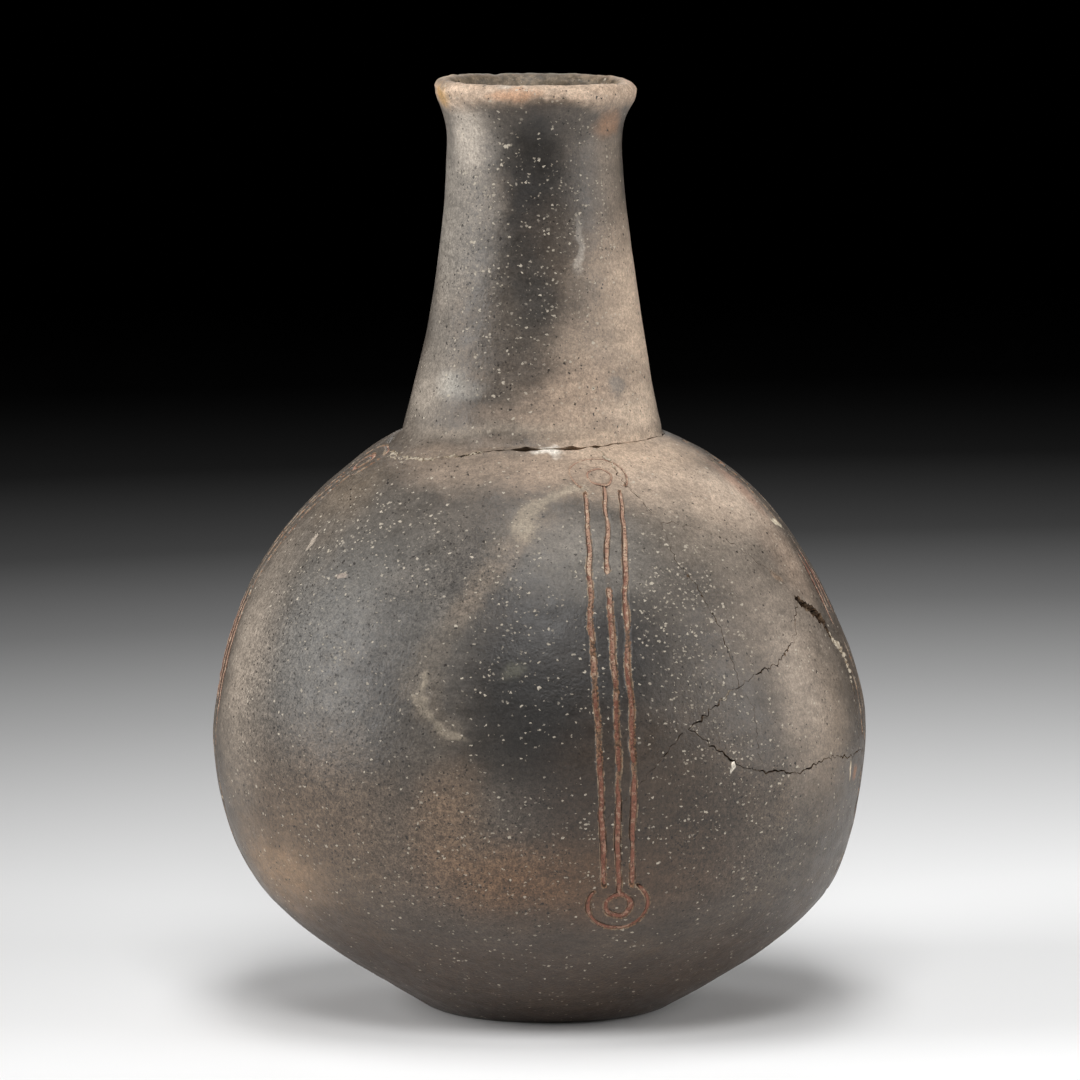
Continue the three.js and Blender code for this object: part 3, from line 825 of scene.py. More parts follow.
def wall_columns(outline, drops, band_columns=43, plain_step=0.0043):
    """Azimuths of the wall's columns at each drop. They stand close together in a band along each
    panel, which leans as its lines do, and wide apart between the panels."""
    s = sizes("bottle_panels")
    radius = outline.at(outline.length - drops)[0]
    reach = s.ring_radius + BAND_MARGIN
    half = reach / radius
    centres = sorted((math.radians(a % 360), a) for a in PANEL_AZIMUTHS.values())
    lean = lean_at(drops) / radius
    starts = [turn + lean - half for turn, _ in centres]
    ends = [turn + lean + half for turn, _ in centres]
    starts.append(starts[0] + math.tau)
    belly = sizes("bottle_body").belly_radius
    blocks = []
    for i in range(len(centres)):
        t = np.linspace(0, 1, band_columns)[None, :-1]
        blocks.append(starts[i][:, None] * (1 - t) + ends[i][:, None] * t)
        widest = (centres[(i + 1) % 4][0] - centres[i][0]) % math.tau
        count = max(2, round((widest * belly - 2 * reach) / plain_step))
        t = np.linspace(0, 1, count + 1)[None, :-1]
        blocks.append(ends[i][:, None] * (1 - t) + starts[i + 1][:, None] * t)
    return np.hstack(blocks)


def body_wall(material):
    """The whole wall before it broke: rings up the outside, over the seam's seat and down the
    inside. The outside is the outline turned round the axis, uneven, with its grooves."""
    s, panels = sizes("bottle_body"), sizes("bottle_panels")
    outline, inner = body_outline(), inner_body_outline()
    upper, lower, ring = panels.upper_ring_drop, panels.lower_ring_drop, 0.0095
    drops = spaced(
        (outline.length, lower + ring, 0.0022), (lower + ring, lower - ring, 0.0004),
        (lower - ring, upper + ring, 0.0007), (upper + ring, upper - ring, 0.0004),
        (upper - ring, 0, 0.0006))
    azimuth = wall_columns(outline, drops)
    seam = seam_course(azimuth) + seam_gap(azimuth) / 2
    drop = drops[:, None] + seam * np.exp(-drops[:, None] / 0.016)
    plain = on_wall(outline, azimuth, drop)
    depth = engraved(outline, azimuth, drop)[0]
    fade = smooth(drops[:, None], 0, 0.002) * smooth(outline.length - drops[:, None], 0, 0.006)
    out = unevenness(plain) * fade - panels.groove_depth * depth
    outside = on_wall(outline, azimuth, drop, out)

    top_edge, column = outside[-1], azimuth[-1]
    seat = turned(column, *inner_seam())
    t = np.linspace(0, 1, 7)[1:-1, None, None]
    mouth = top_edge * (1 - t) + seat * t
    mouth = mouth + 0.00012 * ripple(mouth, 0.003, 21)[..., None]
    distance = spaced((inner.length, 0, 0.0065))
    radius, height, outward, upward = (v[:, None] for v in inner.at(distance))
    inside = turned(column, radius, height)
    swell = 0.0003 * ripple(inside, 0.03, 15) * smooth(inner.length - distance, 0, 0.01)[:, None]
    inside = turned(column, radius - swell * upward, height + swell * outward)
    floor_shares = np.linspace(1, 0, 6)[1:-1, None]
    floor = turned(column, inner.points[0, 0] * floor_shares, s.floor)
    bottom_shares = np.linspace(0, 1, 6)[1:-1, None]
    bottom = turned(azimuth[0], s.base_radius * bottom_shares, 0.0)
    rings = np.concatenate([bottom, outside, mouth, inside, floor])
    return rings_mesh("body wall", rings, material)


def resampled(points, step, wander, seed, closed=False):
    """Points along a broken line at an even step, moved sideways by ragged noise. The noise fades
    to nothing at the line's ends, so that lines that meet still meet."""
    points = np.asarray(points, float)
    if closed:
        points = np.vstack([points, points[:1]])
    distances = travelled(points)
    s = np.linspace(0, distances[-1], max(4, round(distances[-1] / step)))
    course = np.stack([np.interp(s, distances, c) for c in points.T], axis=-1)
    _, sideways = beside(course)
    fade = np.clip(np.minimum(s, distances[-1] - s) / (4 * step), 0, 1)[:, None]
    course = course + sideways * wander * along(s, seed, 0.0035)[:, None] * fade
    return course[:-1] if closed else course


def crack_line(name):
    """A crack's ragged course, in metres."""
    lines = {**CRACKS, **HAIRLINES}
    wander = sizes("bottle_mends").crack_wander
    seed = 300 + 10 * list(lines).index(name)
    return resampled(np.array(lines[name]) * MM, 0.00055, wander, seed)


def joined(*names):
    """Cracks laid end to end as one closed outline, with how wide each of its points is as a
    share of the usual width. A name after a minus sign runs backwards."""
    parts, widths = [], []
    for name in names:
        crack = name.strip("-")
        line = crack_line(crack)
        width = np.linspace(*CRACK_WIDTHS[crack], len(line))
        if crack != name:
            line, width = line[::-1], width[::-1]
        parts.append(line[:-1])
        widths.append(width[:-1])
    return np.vstack(parts), np.concatenate(widths)


def offset(outline, distance, widths=1.0):
    """A closed outline moved inwards along the bisectors of its corners, by a distance that
    varies along it so that the crack is here wider and there nearly shut."""
    before = outline - np.roll(outline, 1, axis=0)
    after = np.roll(outline, -1, axis=0) - outline
    ahead = unit(unit(before) + unit(after))
    inwards = np.stack([-ahead[:, 1], ahead[:, 0]], axis=-1) * np.sign(twice_area(outline))
    vary = np.clip(1 + 0.4 * rough(outline, 0.009, 71), 0.6, 2.2) * widths
    return outline + inwards * (distance * vary)[:, None]


def prism(name, outline, material, low=-0.018, high=0.018, levels=8):
    """A cutter: an outline on the wall, carried along the wall's normal from low to high."""
    wall = body_outline()
    rings = np.stack([laid(wall, MEND_AZIMUTH, outline, out)
                      for out in np.linspace(low, high, levels)])
    faces = ring_faces(levels, len(outline), False) + end_faces(levels, len(outline))
    if twice_area(outline) > 0:
        faces = [face[::-1] for face in faces]
    return mesh_of(name, rings.reshape(-1, 3), faces, material)


def blade(name, material):
    """A cutter for a hairline crack: a thin sliver on both sides of its course, closed at its
    ends, its width following sqrt(sin) and ragged noise."""
    course = crack_line(name)
    s = np.linspace(0, 1, len(course))
    _, sideways = beside(course)
    fade = np.clip(2.4 - 4.6 * s, 0.45, 2.0) if name == "across_panel" else 1
    width = sizes("bottle_mends").hairline_width * (0.6 if name == "in_lower_sherd" else 1)
    half = width / 2 * tapered(s, 0.004) * fade
    half = half * np.clip(1 + 0.5 * along(s * 10, 77, 1.1), 0.35, 2)
    edge = sideways * half[:, None]
    outline = np.vstack([course + edge, (course - edge)[::-1]])
    return prism(name, outline, material, -0.0016, 0.0012, 4)


def lumps(name, centres, reach, material, seed, flat=0.7):
    """Many small rough stones as one mesh: spheres of rings and poles, their radii times
    1 + 0.25 noise, squeezed along the wall's normal."""
    rng = np.random.default_rng(seed)
    rows, columns = 4, 8
    polar = np.linspace(0, math.pi, rows + 2)[1:-1, None]
    turn = np.linspace(0, math.tau, columns, endpoint=False)[None, :]
    ball = np.stack([np.sin(polar) * np.cos(turn), np.sin(polar) * np.sin(turn),
                     np.cos(polar) + 0 * turn], axis=-1).reshape(-1, 3)
    top = len(ball)
    ball = np.vstack([ball, [[0, 0, 1], [0, 0, -1]]])
    # The rings run downwards here, so each face is turned round about its first corner
    faces = [[face[0], *face[:0:-1]] for face in
             ring_faces(rows, columns, False) + pole_faces(rows, columns, top, top + 1)]
    points, all_faces = [], []
    for i, (centre, size) in enumerate(zip(centres, reach)):
        stone = ball * (1 + 0.25 * rng.normal(size=(len(ball), 1)).clip(-1.2, 1.2))
        stone = stone * size * rng.uniform(0.75, 1.3, 3)
        outward = centre - np.array([0, 0, centre[2]])
        outward = outward / np.linalg.norm(outward)
        stone = stone - np.outer(stone @ outward, outward) * (1 - flat)
        points.append(centre + stone)
        all_faces += [[k + i * len(ball) for k in face] for face in faces]
    return mesh_of(name, np.vstack(points), all_faces, material)


def crack_chips(material):
    """A cutter of small flakes lost along the cracks round the sherds and along the hairlines."""
    rng = np.random.default_rng(83)
    wall = body_outline()
    centres, reach = [], []
    edge = resampled(np.array(LOST_CHIP) * MM, 0.0008, 0.0002, 85, closed=True)
    for name, often in FLAKED.items():
        course = edge if name == "lost chip" else crack_line(name)
        chosen = course[rng.random(len(course)) < often]
        chosen = chosen + rng.normal(scale=0.00012, size=chosen.shape)
        centres.append(laid(wall, MEND_AZIMUTH, chosen, 0.0001))
        least = 0.00045 if name == "lost chip" else 0.00018
        reach.append(least + 0.00036 * rng.random(len(chosen)) ** 3)
    return lumps("flakes", np.vstack(centres), np.concatenate(reach), material, 84)


def marked(mesh, **marks):
    """Stores values for each point of a mesh, for its material to read."""
    for name, values in marks.items():
        layer = mesh.attributes.new(name, "FLOAT", "POINT")
        layer.data.foreach_set("value", np.asarray(values, np.float32))


def points_of(mesh):
    """A mesh's points as rows of an array."""
    points = np.empty(len(mesh.vertices) * 3, np.float32)
    mesh.vertices.foreach_get("co", points)
    return points.reshape(-1, 3).astype(float)


def at_height(azimuth, height):
    """The place on the outer wall at an azimuth in degrees and a height in millimetres."""
    return turned(math.radians(azimuth), outer_radius(height * MM), height * MM)


def oval(azimuth, height, across, up, tilt):
    """The centre, turn and half-sizes of an ellipsoid on the wall, given in degrees and
    millimetres. It is at least as deep as it is wide, so that it reaches the curved wall."""
    turn = Euler((0, math.radians(tilt), math.radians(azimuth)))
    return at_height(azimuth, height), turn, np.array([across, max(across, up, 12), up]) * MM


def crowding(points, places, base):
    """How crowded grains or pits are at points: a base, and the strength of each place within
    its ellipsoid, which faces outwards and falls smoothly to 0 at its rim."""
    total = np.full(len(points), base)
    for _, azimuth, height, across, up, tilt, softness, strength in places:
        centre, facing, half = oval(azimuth, height, across, up, tilt)
        reach = np.linalg.norm((points - centre) @ np.array(facing.to_matrix()) / half, axis=1)
        total += strength * (1 - smooth(reach, 1 - softness, 1 + 0.35 * softness))
    return total


def crowded(points):
    """The marks of how crowded temper grains and pits are."""
    return {"temper": crowding(points, TEMPER_PLACES, 0.20),
            "pits": crowding(points, PIT_PLACES, 0.16)}


def about_axis(points):
    """The azimuths in radians and the radii of points about the wandering centreline."""
    x, y = points[:, 0] - drift(points[:, 2]), points[:, 1]
    return np.arctan2(x, -y), np.hypot(x, y)


def paint(mesh):
    """Marks on each point of a wall: how many millimetres it is inside a groove's edge, how much
    of that groove is left, whether it lies under the outer surface, and how crowded grains are."""
    wall = body_outline()
    points = points_of(mesh)
    azimuth, radius = about_axis(points)
    distance = np.interp(points[:, 2], wall.points[:, 1], wall.distances)
    outer, _, _, upward = wall.at(distance)
    sunk = (outer - radius) * upward
    _, inside, kept = engraved(wall, azimuth, wall.length - distance)
    inside = np.where(sunk < 0.0016, inside, FAR_FROM_LINES)
    marked(mesh, edge=inside / MM, kept=kept, sunk=smooth(sunk, 0.0009, 0.0016),
           **crowded(points))


class BOTTLE_OT_body(bpy.types.Operator):
    """Make the body and its two mended sherds"""
    bl_idname = "bottle.body"
    bl_label = "Body and Sherds"

    def execute(self, context):
        clay, broken = burnished_clay(), broken_clay()
        half = sizes("bottle_mends").crack_width / 2
        wall = body_wall(clay)
        chip = resampled(np.array(LOST_CHIP) * MM, 0.0005, 0.00028, 91, closed=True)
        cuts = [("DIFFERENCE", blade(name, broken)) for name in HAIRLINES]
        cuts.append(("DIFFERENCE", crack_chips(broken)))
        cuts.append(("DIFFERENCE", prism("lost chip", chip, broken, -0.0023, 0.002, 5)))
        wall = carved(wall, cuts)
        hole = joined("top", "right", "bottom", "belly", "shoulder")
        upper = joined("top", "middle", "shoulder")
        lower = joined("right", "bottom", "belly", "-middle")
        for node, operation, (outline, widths), distance in (
                ("upper_sherd", "INTERSECT", upper, half),
                ("lower_sherd", "INTERSECT", lower, half),
                ("body", "DIFFERENCE", hole, -half)):
            cutter = prism(node, offset(outline, distance, widths), broken)
            mesh = carved(wall.copy(), [(operation, cutter)])
            mesh.set_sharp_from_angle(angle=math.radians(48))
            paint(mesh)
            finished(f"{node}_wall", mesh, [node])
        return {"FINISHED"}


# Neck

def neck_rings():
    """The neck as rings up its outside, over the lip, down its inside and back under its foot.
    Its foot laps down the shoulder as far as the seam's crack, with a fillet where that is far."""
    body, s = sizes("bottle_body"), sizes("bottle_neck")
    shoulder = body_outline()
    crest = body.seam_height + s.neck_length
    root, waist, lip = neck_knots()
    outer = Outline([root, waist, lip])
    inner = Outline([(inner_seam(), *root[1:]), inset(waist, s.wall), inset(lip, s.lip_thickness)])

    azimuth = np.linspace(0, math.tau, 420, endpoint=False)[None, :]
    course = seam_course(azimuth) - seam_gap(azimuth) / 2
    join = 0.008
    t = np.linspace(0, 1, 26)[:, None]
    upper = spaced((join, outer.length, 0.0013))[1:, None]
    rise = np.vstack([-course * (1 - t) + join * t, upper + 0 * azimuth])

    def skirt(distance):
        """Radius, height and direction at a distance up from the seam, or down the shoulder."""
        low = shoulder.at(shoulder.length + np.minimum(distance, 0))
        high = outer.at(np.maximum(distance, 0))
        return [np.where(distance < 0, a, b) for a, b in zip(low, high)]

    radius, height, outward, upward = skirt(rise)
    # The fillet is the mean of the outline over a stretch, long only where the foot laps far
    reach = 0.0052 * smooth(course, 0.002, 0.006) + 0.0009
    samples = [skirt(rise + reach * shift) for shift in np.linspace(-1, 1, 9)]
    near = np.clip(1 - (np.abs(rise) / 0.0075) ** 2, 0, 1)
    near = near * smooth(rise + course, 0, 0.0035)
    mean = [sum(sample[i] for sample in samples) / len(samples) for i in range(4)]
    radius, height, outward, upward = (
        a * (1 - near) + b * near for a, b in zip((radius, height, outward, upward), mean))
    plain = turned(azimuth, radius, height)
    swell = unevenness(plain) * smooth(rise + course, 0, 0.003) * 0.8
    outside = radius + swell * upward, height - swell * outward

    angle = np.linspace(0, math.pi, 13)[1:-1, None]
    middle = s.lip_radius - s.lip_thickness / 2
    crown = (middle + s.lip_thickness / 2 * np.cos(angle) + 0 * azimuth,
             crest - s.lip_crown + s.lip_crown * np.sin(angle) + 0 * azimuth)
    distance = spaced((inner.length, 0, 0.003))
    in_radius, in_height, in_out, in_up = (v[:, None] for v in inner.at(distance))
    in_height = in_height + s.seam_gap * (1 - smooth(distance, 0, 0.03))[:, None]
    dent = 0.0003 * ripple(turned(azimuth, in_radius, in_height), 0.02, 19)
    inside = in_radius - dent * in_up, in_height + dent * in_out
    t = np.linspace(0, 1, 7)[1:-1, None]
    foot = (inside[0][-1] * (1 - t) + outside[0][0] * t,
            inside[1][-1] * (1 - t) + outside[1][0] * t)
    radius, height = (np.vstack(parts) for parts in zip(outside, crown, inside, foot))
    return with_lip(azimuth, radius, height, crest, middle)


def with_lip(azimuth, radius, height, crest, middle):
    """The neck's rings, whose lip rises and falls round the mouth, is thicker and thinner, and
    has a grain. Each wave grows to its full size over the last stretch below the crest."""
    s = sizes("bottle_neck")
    lip_share = smooth(height, crest - 0.014, crest - 0.003)
    waver = -0.55 * np.sin(azimuth) + 0.35 * np.sin(3 * azimuth + 0.8)
    waver = waver + 0.20 * along_ring(azimuth, 31, 5, 16) + 0.10 * along_ring(azimuth, 32, 20, 60)
    thick = 0.00030 * along_ring(azimuth, 33, 3, 9) + 0.00010 * along_ring(azimuth, 34, 12, 50)
    side = np.clip((radius - middle) / (s.lip_thickness / 2), -1, 1)
    height = height + lip_share * s.lip_waver * waver
    radius = radius + lip_share * thick * side
    rings = turned(azimuth, radius, height)
    grain = 0.00004 * rough(rings, 0.0048, 35) * lip_share
    return rings + grain[..., None] * np.stack(
        [np.sin(azimuth) * side, -np.cos(azimuth) * side, 1 - side ** 2], axis=-1)


class BOTTLE_OT_neck(bpy.types.Operator):
    """Make the neck and its lip"""
    bl_idname = "bottle.neck"
    bl_label = "Neck"

    def execute(self, context):
        mesh = rings_mesh("neck", neck_rings(), burnished_clay(), poles=False)
        paint_neck(mesh)
        finished("neck_wall", mesh, ["neck"])
        return {"FINISHED"}


def paint_neck(mesh):
    """Marks on the neck's points: it has no grooves, and its wall is sunk inside the mouth."""
    body, s = sizes("bottle_body"), sizes("bottle_neck")
    points = points_of(mesh)
    _, radius = about_axis(points)
    crest = body.seam_height + s.neck_length
    heights = np.linspace(crest - 0.06, crest - s.lip_crown, 40)
    outer = np.interp(points[:, 2], heights, [outer_radius(height) for height in heights])
    mouth = smooth(outer - s.lip_thickness / 2 - radius, -0.0003, 0.0022)
    mouth = mouth * smooth(points[:, 2], crest - 0.05, crest - 0.03)
    none = np.full(len(points), FAR_FROM_LINES / MM)
    marked(mesh, edge=none, kept=np.ones(len(points)), sunk=mouth,
           **crowded(points))


# Ochre

def strip(panel, stroke, across, drop, closed):
    """A thin rough ribbon along a course on the wall: six corners round each section, two at the
    foot and four over the top, the top's height varying with ragged noise. Gives its points,
    faces, and for each point the side it is on, from -1 to 1, and how worn it is."""
    s = sizes("bottle_panels")
    wall = body_outline()
    seed = seed_of(panel, stroke)
    course = np.stack([across, drop], axis=-1)
    ahead, sideways = beside(course, closed)
    half = stroke_width(panel, stroke, drop, across, s.ochre_width)
    wear = wear_at(panel, stroke, drop, across)
    top = -s.ochre_top - 0.00003 * rough(course, 0.0040, seed + 4) - 0.25 * wear * s.groove_depth
    low = np.minimum(-s.ochre_top - s.ochre_thickness, top - 0.00012)
    if not closed:
        ends = np.minimum(np.arange(len(half)), np.arange(len(half))[::-1])
        half = half * np.sqrt(np.clip((ends + 0.6) / 3, 0, 1))
    sides, levels = (-1, 1, 0.94, 0.35, -0.3, -0.95), (0, 0, 0.8, 1, 0.95, 0.78)
    corners = []
    for side, level in zip(sides, levels):
        place = course + sideways * (side * half)[:, None]
        level = level * (1 + 0.06 * rough(place, 0.0020, seed + 6 + round(3 * side), 2))
        corners.append(laid(wall, PANEL_AZIMUTHS[panel], place, low + (top - low) * level))
    points, faces = tube(np.stack(corners, axis=1), closed)
    down = np.sign(ahead[:, 1])[:, None] if stroke in LINE_SIDES and not closed else 1
    side = (down * np.array(sides) + 0 * half[:, None]).ravel()
    dusty = 1 - smooth(drop, 0.028, 0.050) - 1.2 * smooth(drop, 0.064, 0.088)
    dusty = dusty if panel == "front" else 0
    return points, faces, side, np.repeat(wear + dusty, len(sides))


def ochre_stroke(panel, stroke):
    """The points, faces, sides and wear of the ochre in one stroke."""
    made = []
    if stroke in LINE_SIDES:
        top, bottom = line_ends(stroke)
        drop = np.linspace(top + 0.0003, bottom - 0.0003, 250)
        made.append(strip(panel, stroke, line_course(panel, stroke, drop), drop, False))
    for centre, radius, facing, before, after in ring_parts(panel, stroke):
        closed = before == 0
        inset_end = 0 if closed else 0.0004 / radius
        turn = np.linspace(before + inset_end, math.tau - after - inset_end,
                           int(math.tau * radius / 0.0005), endpoint=not closed)
        course = ring_course(panel, stroke, radius, turn + facing)
        drop = centre + course * np.sin(turn + facing)
        across = course * np.cos(turn + facing) + lean_at(drop)
        made.append(strip(panel, stroke, across, drop, closed))
    return gathered(made)


def gathered(made):
    """Several parts as one: their points, their faces and whatever else each part carries."""
    starts = np.cumsum([0] + [len(part[0]) for part in made])
    faces = [[i + start for i in face] for part, start in zip(made, starts.tolist())
             for face in part[1]]
    extras = [np.concatenate(values) for values in list(zip(*made))[2:]]
    return [np.vstack([part[0] for part in made]), faces, *extras]


class BOTTLE_OT_ochre(bpy.types.Operator):
    """Make the red ochre in the engraved lines and rings"""
    bl_idname = "bottle.ochre"
    bl_label = "Ochre"

    def execute(self, context):
        pigment = red_ochre()
        for panel in PANEL_AZIMUTHS:
            for stroke in STROKES:
                node = f"ochre_{panel}_{stroke}"
                points, faces, side, worn = ochre_stroke(panel, stroke)
                mesh = mesh_of(node, points, faces, pigment, 60)
                marked(mesh, side=side, worn=worn)
                finished(f"{node}_fill", mesh, [node])
        return {"FINISHED"}


# Fillers

# Strands in the seam: degrees round at both ends, millimetres below the crack, and half their width
SEAM_STRANDS = ((-66, -57, 0.0, 0.34), (-55, -47, 0.3, 0.30), (-48, -38, -0.2, 0.36),
                (-36, -29, 0.1, 0.26), (-27, -20, 0.1, 0.22), (-64, -52, 1.5, 0.24))
# Strands in the cracks: the shares of the crack where they start and end, half their width in
# millimetres, and a seed
CRACK_STRANDS = (("right", 0.33, 0.72, 0.80, 51), ("right", 0.73, 0.98, 0.45, 56),
                 ("bottom", 0.03, 0.33, 0.36, 52), ("belly", 0.62, 0.98, 0.16, 53),
                 ("neck_to_sherd", 0.02, 0.42, 0.17, 54))


def bead(points, reach):
    """A thin flattened tube along points, eight corners round, that swells and shrinks with its
    reach and closes at its ends."""
    ahead = unit(np.gradient(points, axis=0))
    side = unit(np.cross(ahead, unit(points * np.array([1, 1, 0]))))
    up = np.cross(side, ahead)
    angle = np.linspace(0, math.tau, 8, endpoint=False)
    rings = (points[:, None] + side[:, None] * np.cos(angle)[None, :, None] * reach[:, None, None]
             + up[:, None] * np.sin(angle)[None, :, None] * reach[:, None, None] * 0.6)
    return tube(rings, False)


def seam_filler():
    """Strands of old filler along the left of the seam's crack."""
    wall = body_outline()
    made = []
    rng = np.random.default_rng(41)
    t = np.linspace(0, 1, 40)
    for start, end, shift, size in SEAM_STRANDS:
        azimuth = np.radians(np.linspace(start, end, len(t)))
        drop = seam_course(azimuth) + shift * MM
        drop = drop + 0.0003 * along(azimuth * 0.04, rng.integers(1000), 0.002)
        reach = size * MM * tapered(t)
        reach = reach * np.clip(1 + 0.35 * along(t, rng.integers(1000), 0.12), 0.3, 1.7)
        made.append(bead(on_wall(wall, azimuth, drop, 0.00002), reach))
    return made


def crack_filler():
    """White filler down the right edge of the lower sherd, and in the ends of other cracks."""
    wall = body_outline()
    made = []
    for name, first, last, size, seed in CRACK_STRANDS:
        course = crack_line(name)
        course = course[int(first * len(course)):int(last * len(course))]
        t = np.linspace(0, 1, len(course))
        reach = size * MM * tapered(t)
        reach = reach * np.clip(1 + 0.5 * along(t, seed, 0.10), 0.25, 1.8)
        made.append(bead(laid(wall, MEND_AZIMUTH, course, -0.00006), reach))
    return made


class BOTTLE_OT_fillers(bpy.types.Operator):
    """Make the old fillers in the seam and the cracks"""
    bl_idname = "bottle.fillers"
    bl_label = "Fillers"

    def execute(self, context):
        plaster = old_filler()
        for name, made in (("seam_filler", seam_filler()), ("crack_filler", crack_filler())):
            finished(name, mesh_of(name, *gathered(made), plaster), [])
        return {"FINISHED"}


# Materials

class Shade:
    """A material's nodes, made and joined by name."""

    def __init__(self, name):
        self.material = bpy.data.materials.new(name)
        self.material.use_nodes = True
        self.tree = self.material.node_tree
        self.surface = self.tree.nodes["Principled BSDF"]
        self.place = self.node("ShaderNodeTexCoord").outputs["Object"]

    def put(self, node, values):
        """Joins or sets a node's inputs."""
        for key, value in values.items():
            socket = node.inputs[key]
            if isinstance(value, bpy.types.NodeSocket):
                self.tree.links.new(value, socket)
            else:
                socket.default_value = value

    def node(self, kind, inputs=None, **settings):
        """A new node with its settings and inputs."""
        made = self.tree.nodes.new(kind)
        for key, value in settings.items():
            setattr(made, key, value)
        self.put(made, inputs or {})
        return made

    def math(self, operation, a, b=0.0):
        """What an operation makes of two numbers."""
        return self.node("ShaderNodeMath", {0: a, 1: b}, operation=operation).outputs[0]

    def times(self, a, b):
        """Their product."""
        return self.math("MULTIPLY", a, b)

    def plus(self, a, b):
        """Their sum."""
        return self.math("ADD", a, b)

    def moved(self, place, **parts):
        """Coordinates after a mapping's Location or Scale."""
        return self.node("ShaderNodeMapping", {"Vector": place, **parts}).outputs[0]

    def mix(self, factor, a, b, blend="MIX"):
        """One colour laid over another by a factor."""
        return self.node("ShaderNodeMix", {0: factor, 6: a, 7: b}, data_type="RGBA",
                         blend_type=blend).outputs[2]

    def height_of(self, place):
        """The upward part of coordinates."""
        return self.node("ShaderNodeSeparateXYZ", {0: place}).outputs[2]

    def ramp(self, value, low, high, bottom=0.0, top=1.0):
        """A smooth step of a value from low to high, onto bottom to top."""
        made = self.node("ShaderNodeMapRange", {
            "Value": value, "From Min": low, "From Max": high, "To Min": bottom, "To Max": top},
            interpolation_type="SMOOTHSTEP")
        return made.outputs[0]

    def noise(self, scale, detail, roughness, place=None, output=0):
        """Noise at a place: output 0 is a number, and output 1 is a colour."""
        return self.node("ShaderNodeTexNoise", {
            "Vector": place or self.place, "Scale": scale, "Detail": detail,
            "Roughness": roughness}).outputs[output]

    def grains(self, scale, place, least, most):
        """Round grains in random cells: how far a place is inside its cell's grain, and the
        cell's three random numbers."""
        cells = self.node("ShaderNodeTexVoronoi", {"Vector": place, "Scale": scale})
        chance = self.node("ShaderNodeSeparateColor", {0: cells.outputs["Color"]})
        reach = self.ramp(chance.outputs[1], 0, 1, least, most)
        inside = self.math("SUBTRACT", reach, cells.outputs["Distance"])
        return self.ramp(inside, 0, 0.03), chance.outputs

    def attribute(self, name):
        """A mark on the mesh's points."""
        return self.node("ShaderNodeAttribute", attribute_name=name).outputs["Fac"]

    def bump(self, height, distance, strength, **normal):
        """The surface's direction after relief of a height."""
        return self.node("ShaderNodeBump", {
            "Height": height, "Distance": distance, "Strength": strength, **normal}).outputs[0]

    def finish(self, colour, roughness, **more):
        """Sets what the surface reads, and gives the material."""
        self.put(self.surface, {"Base Color": colour, "Roughness": roughness, **more})
        return self.material


def rgba(colour):
    """A colour with nothing see-through."""
    return (*colour[:3], 1.0)


def screen(colour):
    """A colour given as 0 to 255 on screen, as linear light."""
    return rgba([linear(c) for c in colour])


def egg(shade, place, centre, turn, half):
    """1 at the centre of a turned ellipsoid, falling evenly with distance to 0 at 1.4 times its
    half-sizes."""
    made = shade.node("ShaderNodeTexGradient", {"Vector": place}, gradient_type="SPHERICAL")
    mapping = made.texture_mapping
    mapping.vector_type = "TEXTURE"
    mapping.translation, mapping.rotation = centre, turn
    mapping.scale = [1.4 * float(size) for size in half]
    return made.outputs["Fac"]


def patch(shade, place, cloud, strength):
    """The mask of one cloud: an ellipsoid round a place on the wall, turned to face outwards,
    that falls smoothly from its strength inside to 0 at its rim."""
    _, azimuth, height, across, up, tilt, softness, *_ = cloud
    depth = egg(shade, place, *oval(azimuth, height, across, up, tilt))
    rim, inside = (1 - reach / 1.4 for reach in (1 + 0.35 * softness, 1 - softness))
    return shade.ramp(depth, rim, inside, 0.0, strength)


def clouded(shade, colour, place, clouds):
    """Lays clouds over a colour, each with its own colour and strength."""
    for cloud in clouds:
        colour = shade.mix(patch(shade, place, cloud, cloud[8]), colour, screen(cloud[7]))
    return colour


def band(shade, place, course, reach, strength):
    """The mask of a band along a course on the wall: one long ellipsoid over each stretch, that
    overlaps its neighbours by the band's reach, and the greatest of them at each place."""
    points = [Vector(at_height(*point)) for point in course]
    deepest = None
    for start, end in zip(points, points[1:]):
        half = (end - start).length / 2 + reach
        turn = (end - start).to_track_quat("X", "Z").to_euler()
        depth = egg(shade, place, (start + end) / 2, turn, (half, 2 * reach, reach))
        deepest = depth if deepest is None else shade.math("MAXIMUM", deepest, depth)
    return shade.ramp(deepest, 0.12, 0.75, 0.0, strength)


def warped(shade, scale, detail, amount):
    """Object coordinates moved about by noise, so that what follows them has natural edges."""
    noise = shade.noise(scale, detail, 0.62, output=1)
    aside = shade.node("ShaderNodeVectorMath", {0: noise, 1: (amount,) * 3, 2: (-amount / 2,) * 3},
                       operation="MULTIPLY_ADD").outputs[0]
    return shade.moved(shade.place, Location=aside)


def ground_colour(shade, s):
    """The clay's colour with its smoke clouds, the painted highlights among them, and painted shade
    with a browner tone towards the bottom, before any grain.
    """
    soft = warped(shade, 26, 5, 0.020)
    colour = rgba(s.clay)
    for scale, low, high, cloud_tone in ((17, 0.35, 0.65, (76, 70, 64)),
                                         (31, 0.52, 0.74, (116, 99, 82))):
        mask = shade.ramp(shade.noise(scale, 4, 0.6), low, high, 0.0, 0.5)
        colour = shade.mix(mask, colour, screen(cloud_tone))
    colour = clouded(shade, colour, soft, CLOUDS)
    ragged = warped(shade, 90, 4, 0.007)
    for course, reach, strength, band_tone in HALOS:
        mask = band(shade, ragged, course, reach * MM, strength)
        colour = shade.mix(mask, colour, screen(band_tone))
    # Painted shade under the belly with a browner tone of the clay: darker and browner towards the
    # bottom
    underside = shade.ramp(shade.height_of(soft), 0.050, 0.012, 0.0, 0.78)
    return shade.mix(underside, colour, screen((60, 42, 27)))


